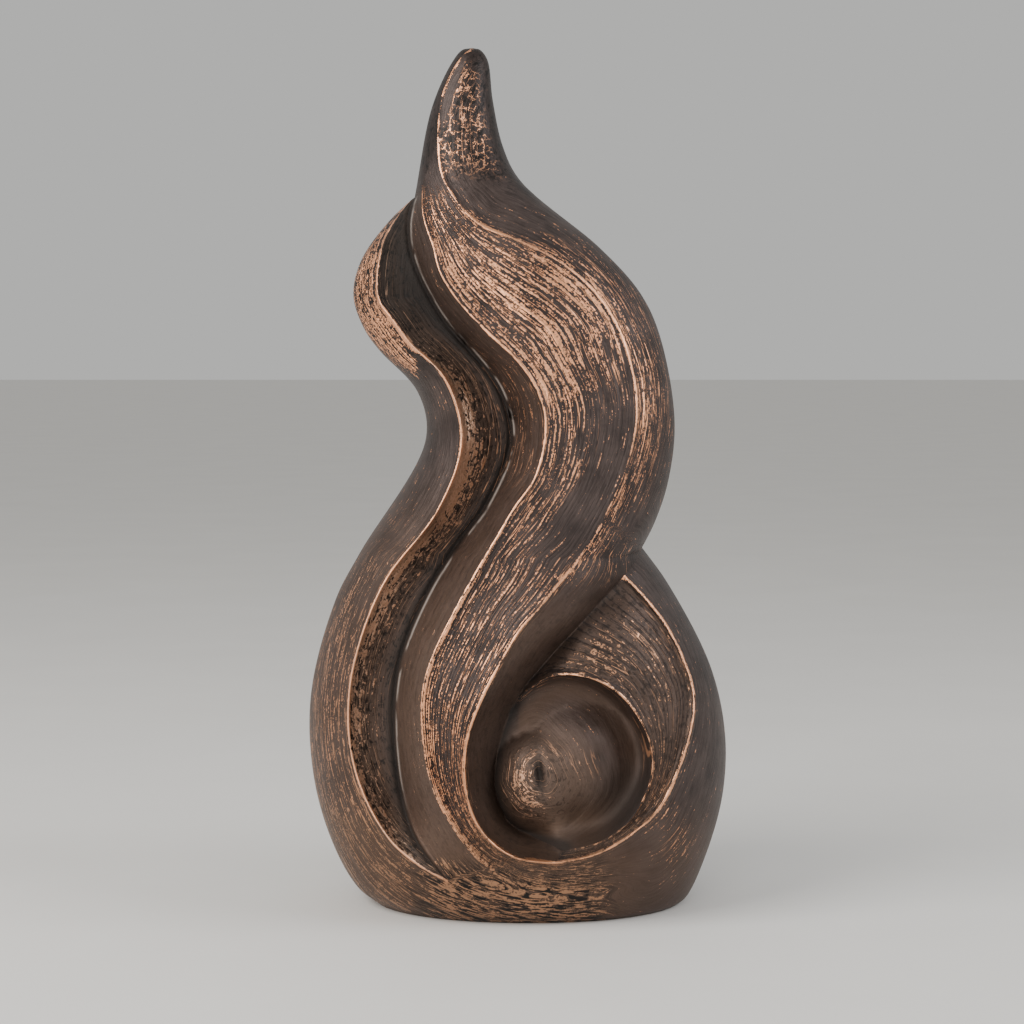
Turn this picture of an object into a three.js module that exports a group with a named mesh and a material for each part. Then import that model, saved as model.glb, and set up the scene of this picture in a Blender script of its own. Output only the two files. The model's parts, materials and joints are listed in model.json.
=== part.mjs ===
// Bronze garden urn in the form of a flame: one hollow casting, sealed all round, given as one solid.
// Millimetres, +Z up. The front faces -Y and +X is to the viewer's right. The origin is the middle of
// the underside's box. The form is a body of oval sections, and its front is carved with a depth that
// depends on the place in the front view, between a few lines that follow the ridges and folds.
import * as THREE from 'three';

// Driving dimensions.
const HEIGHT = 420;             // underside to tip
const CHANNEL_DEPTH = 24;       // the long channel beside the ribbon, below the body's face
const BOWL_DEPTH = 29;          // floor of the bowl at the ribbon's curl
const SHELF_DROP = 3;           // inside the bowl's rim, at once
const SHELF_DEPTH = 15;         // the shelf where it meets the ribbon's wall
const FACE_HOLLOW = 2.5;        // the ribbon's face, dished between its ridges
const BOSS_RADIUS = 25;
const BOSS_RISE = 14;
const BOSS_ROUND = 0.8;         // how full the boss is towards its edge: less is fuller
const SWELL_RADIUS = 31;        // the broad swelling beside the boss
const SWELL_RISE = 11;
const SWELL_ROUND = 1.1;
const BULGE_BLEND = 3;          // how sharply the two meet
const RIDGE_HEIGHT = 1.1;       // raised line along each edge
const RIDGE_WIDTH = 1.7;
const SLIT_DEPTH = 1.5;         // narrow slit along the channel's crease
const SLIT_WIDTH = 1.3;
const BACK_STEP = 8;            // where the flame leaves the lobe on the back
const BACK_REACH_FLAME = 24;    // how far that step runs out upwards
const BACK_REACH_LOBE = 7;      // and downwards
const RIM_FALL = 4;             // run of the fall from the bowl's edge to its floor
const END_RISE = 0.6;           // share of its depth that the bowl loses where its inner step runs out
const END_REACH = 9;            // and how far from there
const FOLD_REACH = 8;           // run of the hollow beside the fold at the wall's foot
const EDGE_FADE = 14;           // the carving dies away where the body is thinner than this
const BACK_FADE = 32;           // and on the back, more softly

// Section of the body: a rounded oval, a little flatter behind than in front.
const OVAL_POWER = 2.1;
const BACK_SHARE = 0.86;
const SOFT_REACH = 6;           // percent of the height over which the notches are evened out inwards
const SOFT_FADE = 14;
const NOTCH_POWER = 5;          // how close to the outline the notches stay

// Mesh: rows up the height, and the length of a facet along a row.
const ROWS = 74;
const FRONT_FACET = 5;
const BACK_FACET = 9.5;
const MERGE = 0.4;              // corners closer than this along a row become one
const ROW_SAMPLES = 180;        // steps in which a half row is measured
const HEIGHT_STEPS = 2000;      // and in which the rows are spread over the height
const SPAN_STEPS = 10;          // steps between two points of a line
const TIP_GAP = 0.15;           // percent of the height between the last row and the tip
const ROW_CROWDING = [[0, 1.5, 4], [9, 2.5, 2.2], [28, 2, 1.2], [99, 2, 4]];

// The pose: outline, depth and feature lines in the front view, in percent of the height.
const OUTLINE_LEFT = [
  [[-16.8, 0], [-19.5, 2.3], [-23.5, 11.7], [-24.5, 23.7], [-21.5, 35.6], [-18.6, 41.2], [-10.8, 54.5],
    [-11.7, 60.1], [-16.1, 64.9], [-17.9, 67.4], [-19.2, 71.3], [-18.3, 75.4], [-15.1, 79.9], [-12, 82.8]],
  [[-12, 82.8], [-10, 93.1], [-7.6, 98.4], [-6.4, 99.8], [-5.3, 100]],
];
const OUTLINE_RIGHT = [
  [[19.3, 0], [20.2, 0.7], [22.4, 5.7], [24.3, 12.9], [24.5, 20.1], [22.7, 28], [17.7, 37.6], [14.6, 41.9]],
  [[14.6, 41.9], [16.2, 45.1], [17.7, 49.8], [18.4, 56.8], [16.6, 66.8], [14.3, 71.7], [9.6, 76.9],
    [0.3, 84.7], [-1.7, 88.6], [-2.9, 94], [-3.5, 98.6], [-4.4, 99.8], [-5.3, 100]],
];
const HALF_DEPTH = [
  [12.7, 0], [13.7, 0.7], [15.7, 3.3], [18.3, 9.5], [19.5, 17.9], [19.3, 26.2], [17.4, 35.7], [15.2, 42.9],
  [12.9, 51.2], [11.7, 59.5], [11.5, 67.9], [10.2, 75], [7.9, 81], [5.7, 86.2], [4.2, 91.7], [3, 96.4],
  [2.1, 98.6], [1.2, 99.6], [0.1, 100],
];
const LIP = [
  [-12, 82.8], [-13.6, 80.6], [-15.3, 77.7], [-15.9, 71], [-14.2, 68.5], [-12.3, 65.9], [-8.5, 62.2],
  [-6.6, 57.2], [-6.6, 53.2], [-9.2, 46.8], [-15.3, 38.6], [-18.8, 28.7], [-19.1, 21.3], [-17.7, 15.7],
  [-14.4, 10], [-11, 7.2], [-8, 5.6],
];
const CREASE = [
  [-12, 82.8], [-12.6, 79.5], [-12.2, 76], [-9.2, 69.5], [-2.2, 60.7], [-0.8, 54.8], [-3.8, 47.2],
  [-6.1, 44.1], [-10.3, 37.6], [-13.7, 28.7], [-13.9, 18.6], [-12.3, 11.3], [-9.6, 7.3], [-8, 5.6],
];
const RIBBON_LEFT = [
  [-11, 83.9], [-10.8, 80.4], [-9.7, 77], [-8.8, 73.9], [-7.1, 71.1], [-3.7, 67.3], [0.1, 63.7],
  [2.5, 59.9], [3.1, 56.4], [2, 51.1], [-0.9, 46.8], [-10.2, 29.3], [-10.6, 22.5], [-9.1, 15.6], [-4.7, 8.7],
  [-3.1, 7.4],
];
const RIBBON_RIGHT = [
  [-5.5, 99.7], [-6.5, 98.8], [-8.7, 94.4], [-9, 86.2], [-7.7, 83], [-4.5, 79.4], [-0.3, 77.6], [4.2, 75.4],
  [7.9, 72.6], [10.3, 69.6], [12.2, 65.7], [13.5, 59.1], [12.7, 53.2], [8.8, 44.7], [2.5, 36.8],
  [-0.1, 33.8], [-5.3, 23.3], [-5.8, 17.1], [-4.2, 12.1], [-0.5, 8.9], [4.2, 8.1],
];
const RIM = [
  [4.2, 8.1], [8.6, 8.9], [13, 11.2], [16.4, 14.3], [20.1, 24.8], [18.7, 30.5], [16.2, 34.9], [13.9, 37.6],
  [12.1, 39.4],
];
const WALL_FOOT = [
  [14.6, 41.9], [12.1, 39.4], [3.3, 30.2], [0, 26], [-2.2, 20.2], [-2.4, 14.8], [-0.4, 11], [5, 9],
];
const RIM_MEETS = 1;            // the point of the wall's foot that the rim runs up to
const STEP_BEGINS = 3;          // the point of the wall's foot where the bowl's inner step begins
const INNER_STEP = [
  [0, 26], [1.9, 27.6], [4.4, 28.8], [7.8, 28.6], [11.7, 26.3], [14.8, 21.2], [14.9, 17], [12.7, 12.7],
  [9.6, 10.3], [5, 9],
];
const BACK_FOLD = [[14.6, 41.9], [10.5, 49], [4.5, 56], [-2.5, 64], [-7.5, 73], [-12, 82.8]];
const BOSS = [2.5, 16.2];
const SWELL = [7.6, 17.8];

// Shares of the full depth reached at heights in percent, eased between them.
const CHANNEL_RUN = [[6.2, 0], [15, 0.84], [26, 0.97], [48, 1], [69, 0.9], [76, 0.58], [82, 0.17]];
const WALL_RUN = [[24, 1], [30, 0.82], [36, 0.55], [41, 0.2], [43, 0]];
const WALL_TURN = [22, 37];     // the ribbon's wall rounds over from here on, up to here
const FOLD_FADE = [30, 40];
const FOOT_FADE = 4;            // no carving at the underside, full carving from this height on
const FACE_FADE_LOW = [8, 18];
const FACE_FADE_HIGH = [70, 90];
const WALL_OVERLAP = 5;         // the wall's area reaches this far above the notch of the outline

// How the slopes round: below 1 they fall at once, above 1 they begin softly.
const CHANNEL_ROUND = 1.7;
const BANK_ROUND = 1.25;
const WALL_ROUND_LOW = 0.85;
const WALL_ROUND_HIGH = 2;

const percent = HEIGHT / 100;

function ease(t) {
  const s = THREE.MathUtils.clamp(t, 0, 1);
  return s * s * (3 - 2 * s);
}

function between(value, [low, high]) {
  return ease((value - low) / (high - low));
}

// A smooth line through points given in percent of the height.
function strand(points, steps = SPAN_STEPS) {
  const knots = points.map(([x, z]) => new THREE.Vector3(x * percent, z * percent, 0));
  return new THREE.CatmullRomCurve3(knots, false, 'centripetal').getPoints(steps * (points.length - 1));
}

// The first value of a line where its second value is z.
function valueAt(line, z) {
  let i = 1;
  while (i < line.length - 1 && line[i].y < z) i += 1;
  const [a, b] = [line[i - 1], line[i]];
  const run = Math.max(b.y - a.y, 1e-9);
  return THREE.MathUtils.lerp(a.x, b.x, THREE.MathUtils.clamp((z - a.y) / run, 0, 1));
}

function eased(table, z) {
  let i = 1;
  while (i < table.length - 1 && table[i][0] * percent < z) i += 1;
  const [a, b] = [table[i - 1], table[i]];
  return THREE.MathUtils.lerp(a[1], b[1], between(z / percent, [a[0], b[0]]));
}

function distance(x, z, line) {
  let best = Infinity;
  for (let i = 1; i < line.length; i += 1) {
    const [a, b] = [line[i - 1], line[i]];
    const [dx, dz] = [b.x - a.x, b.y - a.y];
    const along = ((x - a.x) * dx + (z - a.y) * dz) / Math.max(dx * dx + dz * dz, 1e-12);
    const t = THREE.MathUtils.clamp(along, 0, 1);
    best = Math.min(best, Math.hypot(a.x + t * dx - x, a.y + t * dz - z));
  }
  return best;
}

function inside(x, z, loop) {
  let odd = false;
  for (let i = 0, j = loop.length - 1; i < loop.length; j = i, i += 1) {
    const [a, b] = [loop[i], loop[j]];
    if ((a.y > z) !== (b.y > z) && x < ((b.x - a.x) * (z - a.y)) / (b.y - a.y) + a.x) odd = !odd;
  }
  return odd;
}

const outlineLeft = OUTLINE_LEFT.flatMap((part) => strand(part));
const outlineRight = OUTLINE_RIGHT.flatMap((part) => strand(part));
const halfDepth = strand(HALF_DEPTH);
const lip = strand(LIP);
const crease = strand(CREASE);
const ribbonLeft = strand(RIBBON_LEFT);
const ribbonRight = strand(RIBBON_RIGHT);
const rim = strand(RIM);
const wallFoot = strand(WALL_FOOT);
const innerStep = strand(INNER_STEP);
const backFold = strand(BACK_FOLD);

const notch = wallFoot[0];
const stepTop = innerStep.reduce((best, p, i) => (p.y > innerStep[best].y ? i : best), 0);
const stepEnd = innerStep[innerStep.length - 1];
const footHigh = wallFoot.slice(RIM_MEETS * SPAN_STEPS, STEP_BEGINS * SPAN_STEPS + 1);
const footLow = wallFoot.slice(STEP_BEGINS * SPAN_STEPS);
const besideNotch = ribbonRight.findIndex((p) => p.x > 0 && p.y < notch.y + WALL_OVERLAP * percent);

// The areas between the lines, as closed loops in the front view.
const loops = {
  channel: [...lip, ...crease.toReversed()],
  bank: [...crease, ...ribbonLeft.toReversed()],
  face: [...ribbonLeft, ...ribbonRight.toReversed()],
  wall: [...ribbonRight.slice(besideNotch), ...wallFoot.toReversed()],
  shelf: [...footHigh, ...innerStep, ...rim],
  bowl: [...innerStep, ...footLow.toReversed()],
};

// Lines that rise or fall all the way, on which the rows of the front and of the back have corners.
const frontSeams = [
  lip, crease, ribbonLeft, ribbonRight, rim, wallFoot, innerStep.slice(0, stepTop + 1), innerStep.slice(stepTop),
];
const backSeams = [backFold];

function share(a, b) {
  return a / Math.max(a + b, 1e-6);
}

function mound(from, width) {
  return Math.exp(-((from / width) ** 2));
}

function dome(x, z, [cx, cz], radius, power) {
  const r = Math.hypot(x - cx * percent, z - cz * percent) / radius;
  return Math.max(1 - r * r, 0) ** power;
}

// The shelf inside the rim: a small drop, then a slope down to the fold at the foot of the ribbon's wall.
function shelfDepth(to, wallDepth, fold) {
  const across = share(to.rim, to.wallFoot);
  const slope = Math.max((wallDepth * SHELF_DEPTH) / BOWL_DEPTH - SHELF_DROP, 0) * across;
  const plain = Math.min(SHELF_DROP * ease(to.rim / SHELF_DROP) + slope, wallDepth);
  const folded = plain + (wallDepth - plain) * across * Math.exp(-to.wallFoot / FOLD_REACH);
  return folded + (wallDepth - folded) * fold;
}

// The bowl's floor: it falls from the shelf to its full depth, and the boss and the swelling rise from it.
function bowlDepth(x, z, to, shelf, deep) {
  const floor = shelf + (deep - shelf) * (1 - Math.exp(-to.innerStep / RIM_FALL));
  const boss = BOSS_RISE * dome(x, z, BOSS, BOSS_RADIUS, BOSS_ROUND);
  const swell = SWELL_RISE * dome(x, z, SWELL, SWELL_RADIUS, SWELL_ROUND);
  return floor - (boss ** BULGE_BLEND + swell ** BULGE_BLEND) ** (1 / BULGE_BLEND);
}

// Depth carved into the front at a place in the front view, before it dies away at the outline.
function carving(x, z, to) {
  const at = z / percent;
  const channel = CHANNEL_DEPTH * eased(CHANNEL_RUN, z);
  const runOut = mound(Math.hypot(x - stepEnd.x, z - stepEnd.y), END_REACH);
  const deep = BOWL_DEPTH * (1 - END_RISE * runOut);
  const wallDepth = deep * eased(WALL_RUN, z);
  const fold = x > 0 ? between(at, FOLD_FADE) * Math.exp(-to.wallFoot / FOLD_REACH) : 0;
  if (inside(x, z, loops.channel)) {
    return channel * (1 - (1 - share(to.lip, to.crease)) ** CHANNEL_ROUND);
  }
  if (inside(x, z, loops.bank)) return channel * share(to.ribbonLeft, to.crease) ** BANK_ROUND;
  if (inside(x, z, loops.face)) {
    const across = share(to.ribbonLeft, to.ribbonRight);
    const along = between(at, FACE_FADE_LOW) * (1 - between(at, FACE_FADE_HIGH));
    return FACE_HOLLOW * ease(4 * across * (1 - across)) * along;
  }
  if (inside(x, z, loops.wall)) {
    const power = THREE.MathUtils.lerp(WALL_ROUND_LOW, WALL_ROUND_HIGH, between(at, WALL_TURN));
    return wallDepth * share(to.ribbonRight, to.wallFoot) ** power;
  }
  if (inside(x, z, loops.bowl)) return bowlDepth(x, z, to, shelfDepth(to, wallDepth, fold), deep);
  if (inside(x, z, loops.shelf)) return shelfDepth(to, wallDepth, fold);
  return wallDepth * fold;
}

// How far the finished front lies behind the plain body, whose half thickness there is given.
function frontRelief(x, z, thickness) {
  const named = { lip, crease, ribbonLeft, ribbonRight, rim, wallFoot, innerStep };
  const to = Object.fromEntries(Object.entries(named).map(([name, line]) => [name, distance(x, z, line)]));
  const nearest = Math.min(to.lip, to.ribbonLeft, to.ribbonRight, to.rim, to.innerStep);
  const slit = SLIT_DEPTH * mound(to.crease, SLIT_WIDTH);
  const depth = carving(x, z, to) + slit - RIDGE_HEIGHT * mound(nearest, RIDGE_WIDTH);
  return depth * (1 - Math.exp(-thickness / EDGE_FADE)) * ease(z / percent / FOOT_FADE);
}

// The flame leaves the lobe on the back in one soft step that joins the two notches of the outline.
function backRelief(x, z, thickness) {
  const above = x > crossing(backFold, z, true);
  const reach = above ? BACK_REACH_FLAME : BACK_REACH_LOBE;
  return BACK_STEP * Math.exp(-distance(x, z, backFold) / reach) * (1 - Math.exp(-thickness / BACK_FADE));
}

// Where a line that rises or falls all the way crosses a height, or null past its ends.
function crossing(line, z, held = false) {
  const [first, last] = [line[0], line[line.length - 1]];
  const rising = last.y > first.y;
  const up = rising ? line : line.toReversed();
  const slack = 1e-6;
  if (!held && (z < up[0].y - slack || z > up[up.length - 1].y + slack)) return null;
  return valueAt(up, z);
}

// Stations from the first to the last value, closer together where the density is higher.
function spread(count, values, density) {
  const total = [0];
  for (let i = 1; i < values.length; i += 1) {
    total.push(total[i - 1] + ((density[i] + density[i - 1]) / 2) * Math.abs(values[i] - values[i - 1]));
  }
  const stations = [];
  let i = 1;
  for (let k = 0; k < count; k += 1) {
    const wanted = (total[total.length - 1] * k) / (count - 1);
    while (i < total.length - 1 && total[i] < wanted) i += 1;
    const t = (wanted - total[i - 1]) / (total[i] - total[i - 1]);
    stations.push(THREE.MathUtils.lerp(values[i - 1], values[i], THREE.MathUtils.clamp(t, 0, 1)));
  }
  return stations;
}

// Heights of the rows. Some are moved a little, so that one lies on each end and turn of a seam.
function rowHeights() {
  const values = Array.from({ length: HEIGHT_STEPS + 1 }, (_, i) => (i / HEIGHT_STEPS) * (100 - TIP_GAP));
  const crowding = (v) => ROW_CROWDING.reduce((sum, [at, reach, gain]) => sum + gain * mound(v - at, reach), 1);
  const rows = spread(ROWS, values, values.map(crowding)).map((v) => v * percent);
  for (const seam of [...frontSeams, ...backSeams]) {
    for (const end of [seam[0], seam[seam.length - 1]]) {
      const gaps = rows.map((z) => Math.abs(z - end.y));
      const nearest = gaps.indexOf(Math.min(...gaps));
      if (nearest > 0 && nearest < rows.length - 1) rows[nearest] = end.y;
    }
  }
  return rows;
}

// The outline's value at a height, averaged over a stretch that shrinks to nothing at foot and tip.
function softened(line, z) {
  const reach = SOFT_REACH * percent * between(Math.min(z, HEIGHT - z) / percent, [0, SOFT_FADE]);
  const offsets = [-1, -0.75, -0.5, -0.25, 0, 0.25, 0.5, 0.75, 1];
  return offsets.reduce((sum, offset) => sum + valueAt(line, z + offset * reach), 0) / offsets.length;
}

// Place across the oval, from -1 to 1. The notches of the outline only show near the outline.
function across(angle, x, z) {
  const sharp = -Math.cos(angle);
  const [left, right] = [softened(outlineLeft, z), softened(outlineRight, z)];
  const soft = THREE.MathUtils.clamp((2 * x - left - right) / Math.max(right - left, 1e-6), -1, 1);
  return THREE.MathUtils.lerp(soft, sharp, Math.abs(sharp) ** NOTCH_POWER);
}

function bodyPoint(angle, z, left, right) {
  const x = (left + right) / 2 - ((right - left) / 2) * Math.cos(angle);
  const oval = Math.max(1 - Math.abs(across(angle, x, z)) ** OVAL_POWER, 0) ** (1 / OVAL_POWER);
  const depth = valueAt(halfDepth, z) * oval;
  if (angle <= Math.PI) return [x, frontRelief(x, z, depth) - depth, z];
  return [x, BACK_SHARE * depth - backRelief(x, z, BACK_SHARE * depth), z];
}

// A half row is measured in small steps, so that places on it can be given by their length along it.
function measure(z, left, right, start) {
  const angles = Array.from({ length: ROW_SAMPLES + 1 }, (_, i) => start + (i / ROW_SAMPLES) * Math.PI);
  const points = angles.map((angle) => new THREE.Vector3(...bodyPoint(angle, z, left, right)));
  const along = [0];
  for (let i = 1; i < points.length; i += 1) along.push(along[i - 1] + points[i].distanceTo(points[i - 1]));
  const table = (from, to) => from.map((value, i) => new THREE.Vector2(to[i], value));
  const lengths = table(angles, along);
  const turns = table(along, angles);
  return { length: along[ROW_SAMPLES], at: (angle) => valueAt(lengths, angle), angle: (at) => valueAt(turns, at) };
}

// Half a row, from one side of the outline to the other: corners on the seams, and even ones between.
function halfRow(z, left, right, seams, start, facet) {
  const row = measure(z, left, right, start);
  const behind = start > 0;
  const pins = [{ at: 0, names: ['side'] }];
  seams.forEach((seam, name) => {
    const x = crossing(seam, z);
    if (x === null) return;
    const cosine = THREE.MathUtils.clamp((left + right - 2 * x) / Math.max(right - left, 1e-6), -1, 1);
    pins.push({ at: row.at(behind ? 2 * Math.PI - Math.acos(cosine) : Math.acos(cosine)), names: [name] });
  });
  pins.push({ at: row.length, names: ['end'] });
  pins.sort((a, b) => a.at - b.at);
  const merged = [];
  for (const pin of pins) {
    const last = merged[merged.length - 1];
    if (last && pin.at - last.at < MERGE) last.names.push(...pin.names);
    else merged.push({ ...pin });
  }
  merged[merged.length - 1].at = row.length;
  const corners = [];
  merged.forEach((pin, i) => {
    corners.push({ at: pin.at, names: pin.names });
    if (i + 1 === merged.length) return;
    const gap = merged[i + 1].at - pin.at;
    const count = Math.max(Math.round(gap / facet), 1);
    for (let k = 1; k < count; k += 1) corners.push({ at: pin.at + (gap * k) / count, names: [] });
  });
  return corners.map(({ at, names }) => ({ at, names, place: bodyPoint(row.angle(at), z, left, right) }));
}

// Triangles between two chains of corners that run the same way, one above the other.
function zip(lower, upper, index) {
  const span = (chain) => Math.max(chain[chain.length - 1].at - chain[0].at, 1e-9);
  const [lowerSpan, upperSpan] = [span(lower), span(upper)];
  let i = 0;
  let j = 0;
  while (i < lower.length - 1 || j < upper.length - 1) {
    const nextLower = i < lower.length - 1 ? (lower[i + 1].at - lower[0].at) / lowerSpan : Infinity;
    const nextUpper = j < upper.length - 1 ? (upper[j + 1].at - upper[0].at) / upperSpan : Infinity;
    if (nextLower <= nextUpper) {
      index.push(lower[i].id, lower[i + 1].id, upper[j].id);
      i += 1;
    } else {
      index.push(lower[i].id, upper[j + 1].id, upper[j].id);
      j += 1;
    }
  }
}

// Joins two half rows, stretch by stretch between the seams that both of them cross.
function join(lower, upper, index) {
  const find = (row, name) => row.findIndex((corner) => corner.names.includes(name));
  const shared = lower.flatMap((corner) => corner.names.filter((name) => find(upper, name) >= 0));
  let [i, j] = [0, 0];
  for (const name of shared) {
    const [nextI, nextJ] = [find(lower, name), find(upper, name)];
    if (nextJ < j) continue;
    zip(lower.slice(i, nextI + 1), upper.slice(j, nextJ + 1), index);
    [i, j] = [nextI, nextJ];
  }
}

function urnGeometry() {
  const positions = [];
  const index = [];
  const rows = rowHeights().map((z) => {
    const [left, right] = [valueAt(outlineLeft, z), valueAt(outlineRight, z)];
    const front = halfRow(z, left, right, frontSeams, 0, FRONT_FACET);
    const back = halfRow(z, left, right, backSeams, Math.PI, BACK_FACET);
    const ring = [...front.slice(0, -1), ...back.slice(0, -1)];
    for (const corner of ring) {
      corner.id = positions.length / 3;
      positions.push(...corner.place);
    }
    front[front.length - 1].id = back[0].id;
    back[back.length - 1].id = front[0].id;
    return { front, back, ring };
  });
  for (let k = 1; k < rows.length; k += 1) {
    join(rows[k - 1].front, rows[k].front, index);
    join(rows[k - 1].back, rows[k].back, index);
  }
  const [first, last] = [rows[0].ring, rows[rows.length - 1].ring];
  const [under, tip] = [positions.length / 3, positions.length / 3 + 1];
  positions.push(0, 0, 0, outlineLeft[outlineLeft.length - 1].x, 0, HEIGHT);
  first.forEach((corner, i) => index.push(under, first[(i + 1) % first.length].id, corner.id));
  last.forEach((corner, i) => index.push(tip, corner.id, last[(i + 1) % last.length].id));
  const geometry = new THREE.BufferGeometry();
  geometry.setAttribute('position', new THREE.Float32BufferAttribute(positions, 3));
  geometry.setIndex(index);
  geometry.computeBoundingBox();
  const centre = geometry.boundingBox.getCenter(new THREE.Vector3());
  geometry.translate(-centre.x, -centre.y, 0);
  geometry.computeVertexNormals();
  return geometry;
}

const bronze = new THREE.MeshStandardMaterial({ color: 0x4a3a30, roughness: 0.45, metalness: 0.8 });
const urn = new THREE.Mesh(urnGeometry(), bronze);
urn.name = 'flame_urn';

const part = new THREE.Group();
part.add(urn);

export default part;
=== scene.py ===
"""Visual model of a flame-shaped bronze garden urn.

One sealed casting: a ribbon twists down from the tip, beside a long channel, and curls round a bowl.
The body is a stack of oval rows. Its front is carved by a depth that depends on the place in the
front view, between a few lines that follow the ridges and folds. Lengths of the form are in
millimetres, and become metres when the mesh is made.
"""

import json
import logging
import math
from dataclasses import dataclass, field
from enum import Enum

import bpy
import numpy as np
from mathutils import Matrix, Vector

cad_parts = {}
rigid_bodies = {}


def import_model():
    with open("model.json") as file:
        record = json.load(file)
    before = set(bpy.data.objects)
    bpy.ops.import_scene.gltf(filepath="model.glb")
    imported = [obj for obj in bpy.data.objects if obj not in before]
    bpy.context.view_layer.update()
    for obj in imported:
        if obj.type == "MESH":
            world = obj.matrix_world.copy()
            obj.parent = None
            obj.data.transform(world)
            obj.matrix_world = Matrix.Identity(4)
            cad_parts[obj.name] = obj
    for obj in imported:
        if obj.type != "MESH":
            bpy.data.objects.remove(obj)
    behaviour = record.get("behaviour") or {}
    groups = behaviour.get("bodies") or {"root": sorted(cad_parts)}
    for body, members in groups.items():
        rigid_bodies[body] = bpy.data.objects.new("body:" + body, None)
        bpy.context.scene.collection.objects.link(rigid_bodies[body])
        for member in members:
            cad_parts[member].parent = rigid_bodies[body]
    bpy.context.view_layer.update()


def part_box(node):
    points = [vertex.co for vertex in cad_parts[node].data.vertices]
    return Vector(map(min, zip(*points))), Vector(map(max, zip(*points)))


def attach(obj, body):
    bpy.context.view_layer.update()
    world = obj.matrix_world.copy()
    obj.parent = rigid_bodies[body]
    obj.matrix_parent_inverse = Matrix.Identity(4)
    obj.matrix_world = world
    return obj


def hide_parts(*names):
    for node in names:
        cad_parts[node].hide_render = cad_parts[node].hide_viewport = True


LOG = logging.getLogger("flame_urn")
NODE = "flame_urn"
MM = 0.001
SPAN_STEPS = 10
Points = tuple[tuple[float, float], ...]
Stops = tuple[tuple[float, float], ...]
Span = tuple[float, float]
Colour = tuple[float, float, float]


class Zone(Enum):
    """Areas of the front, in the order in which a place is given to one of them."""

    CHANNEL = "channel"
    BANK = "bank"
    FACE = "face"
    WALL = "wall"
    BOWL = "bowl"
    SHELF = "shelf"
    OUTER = "outer"
    BACK = "back"


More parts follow.
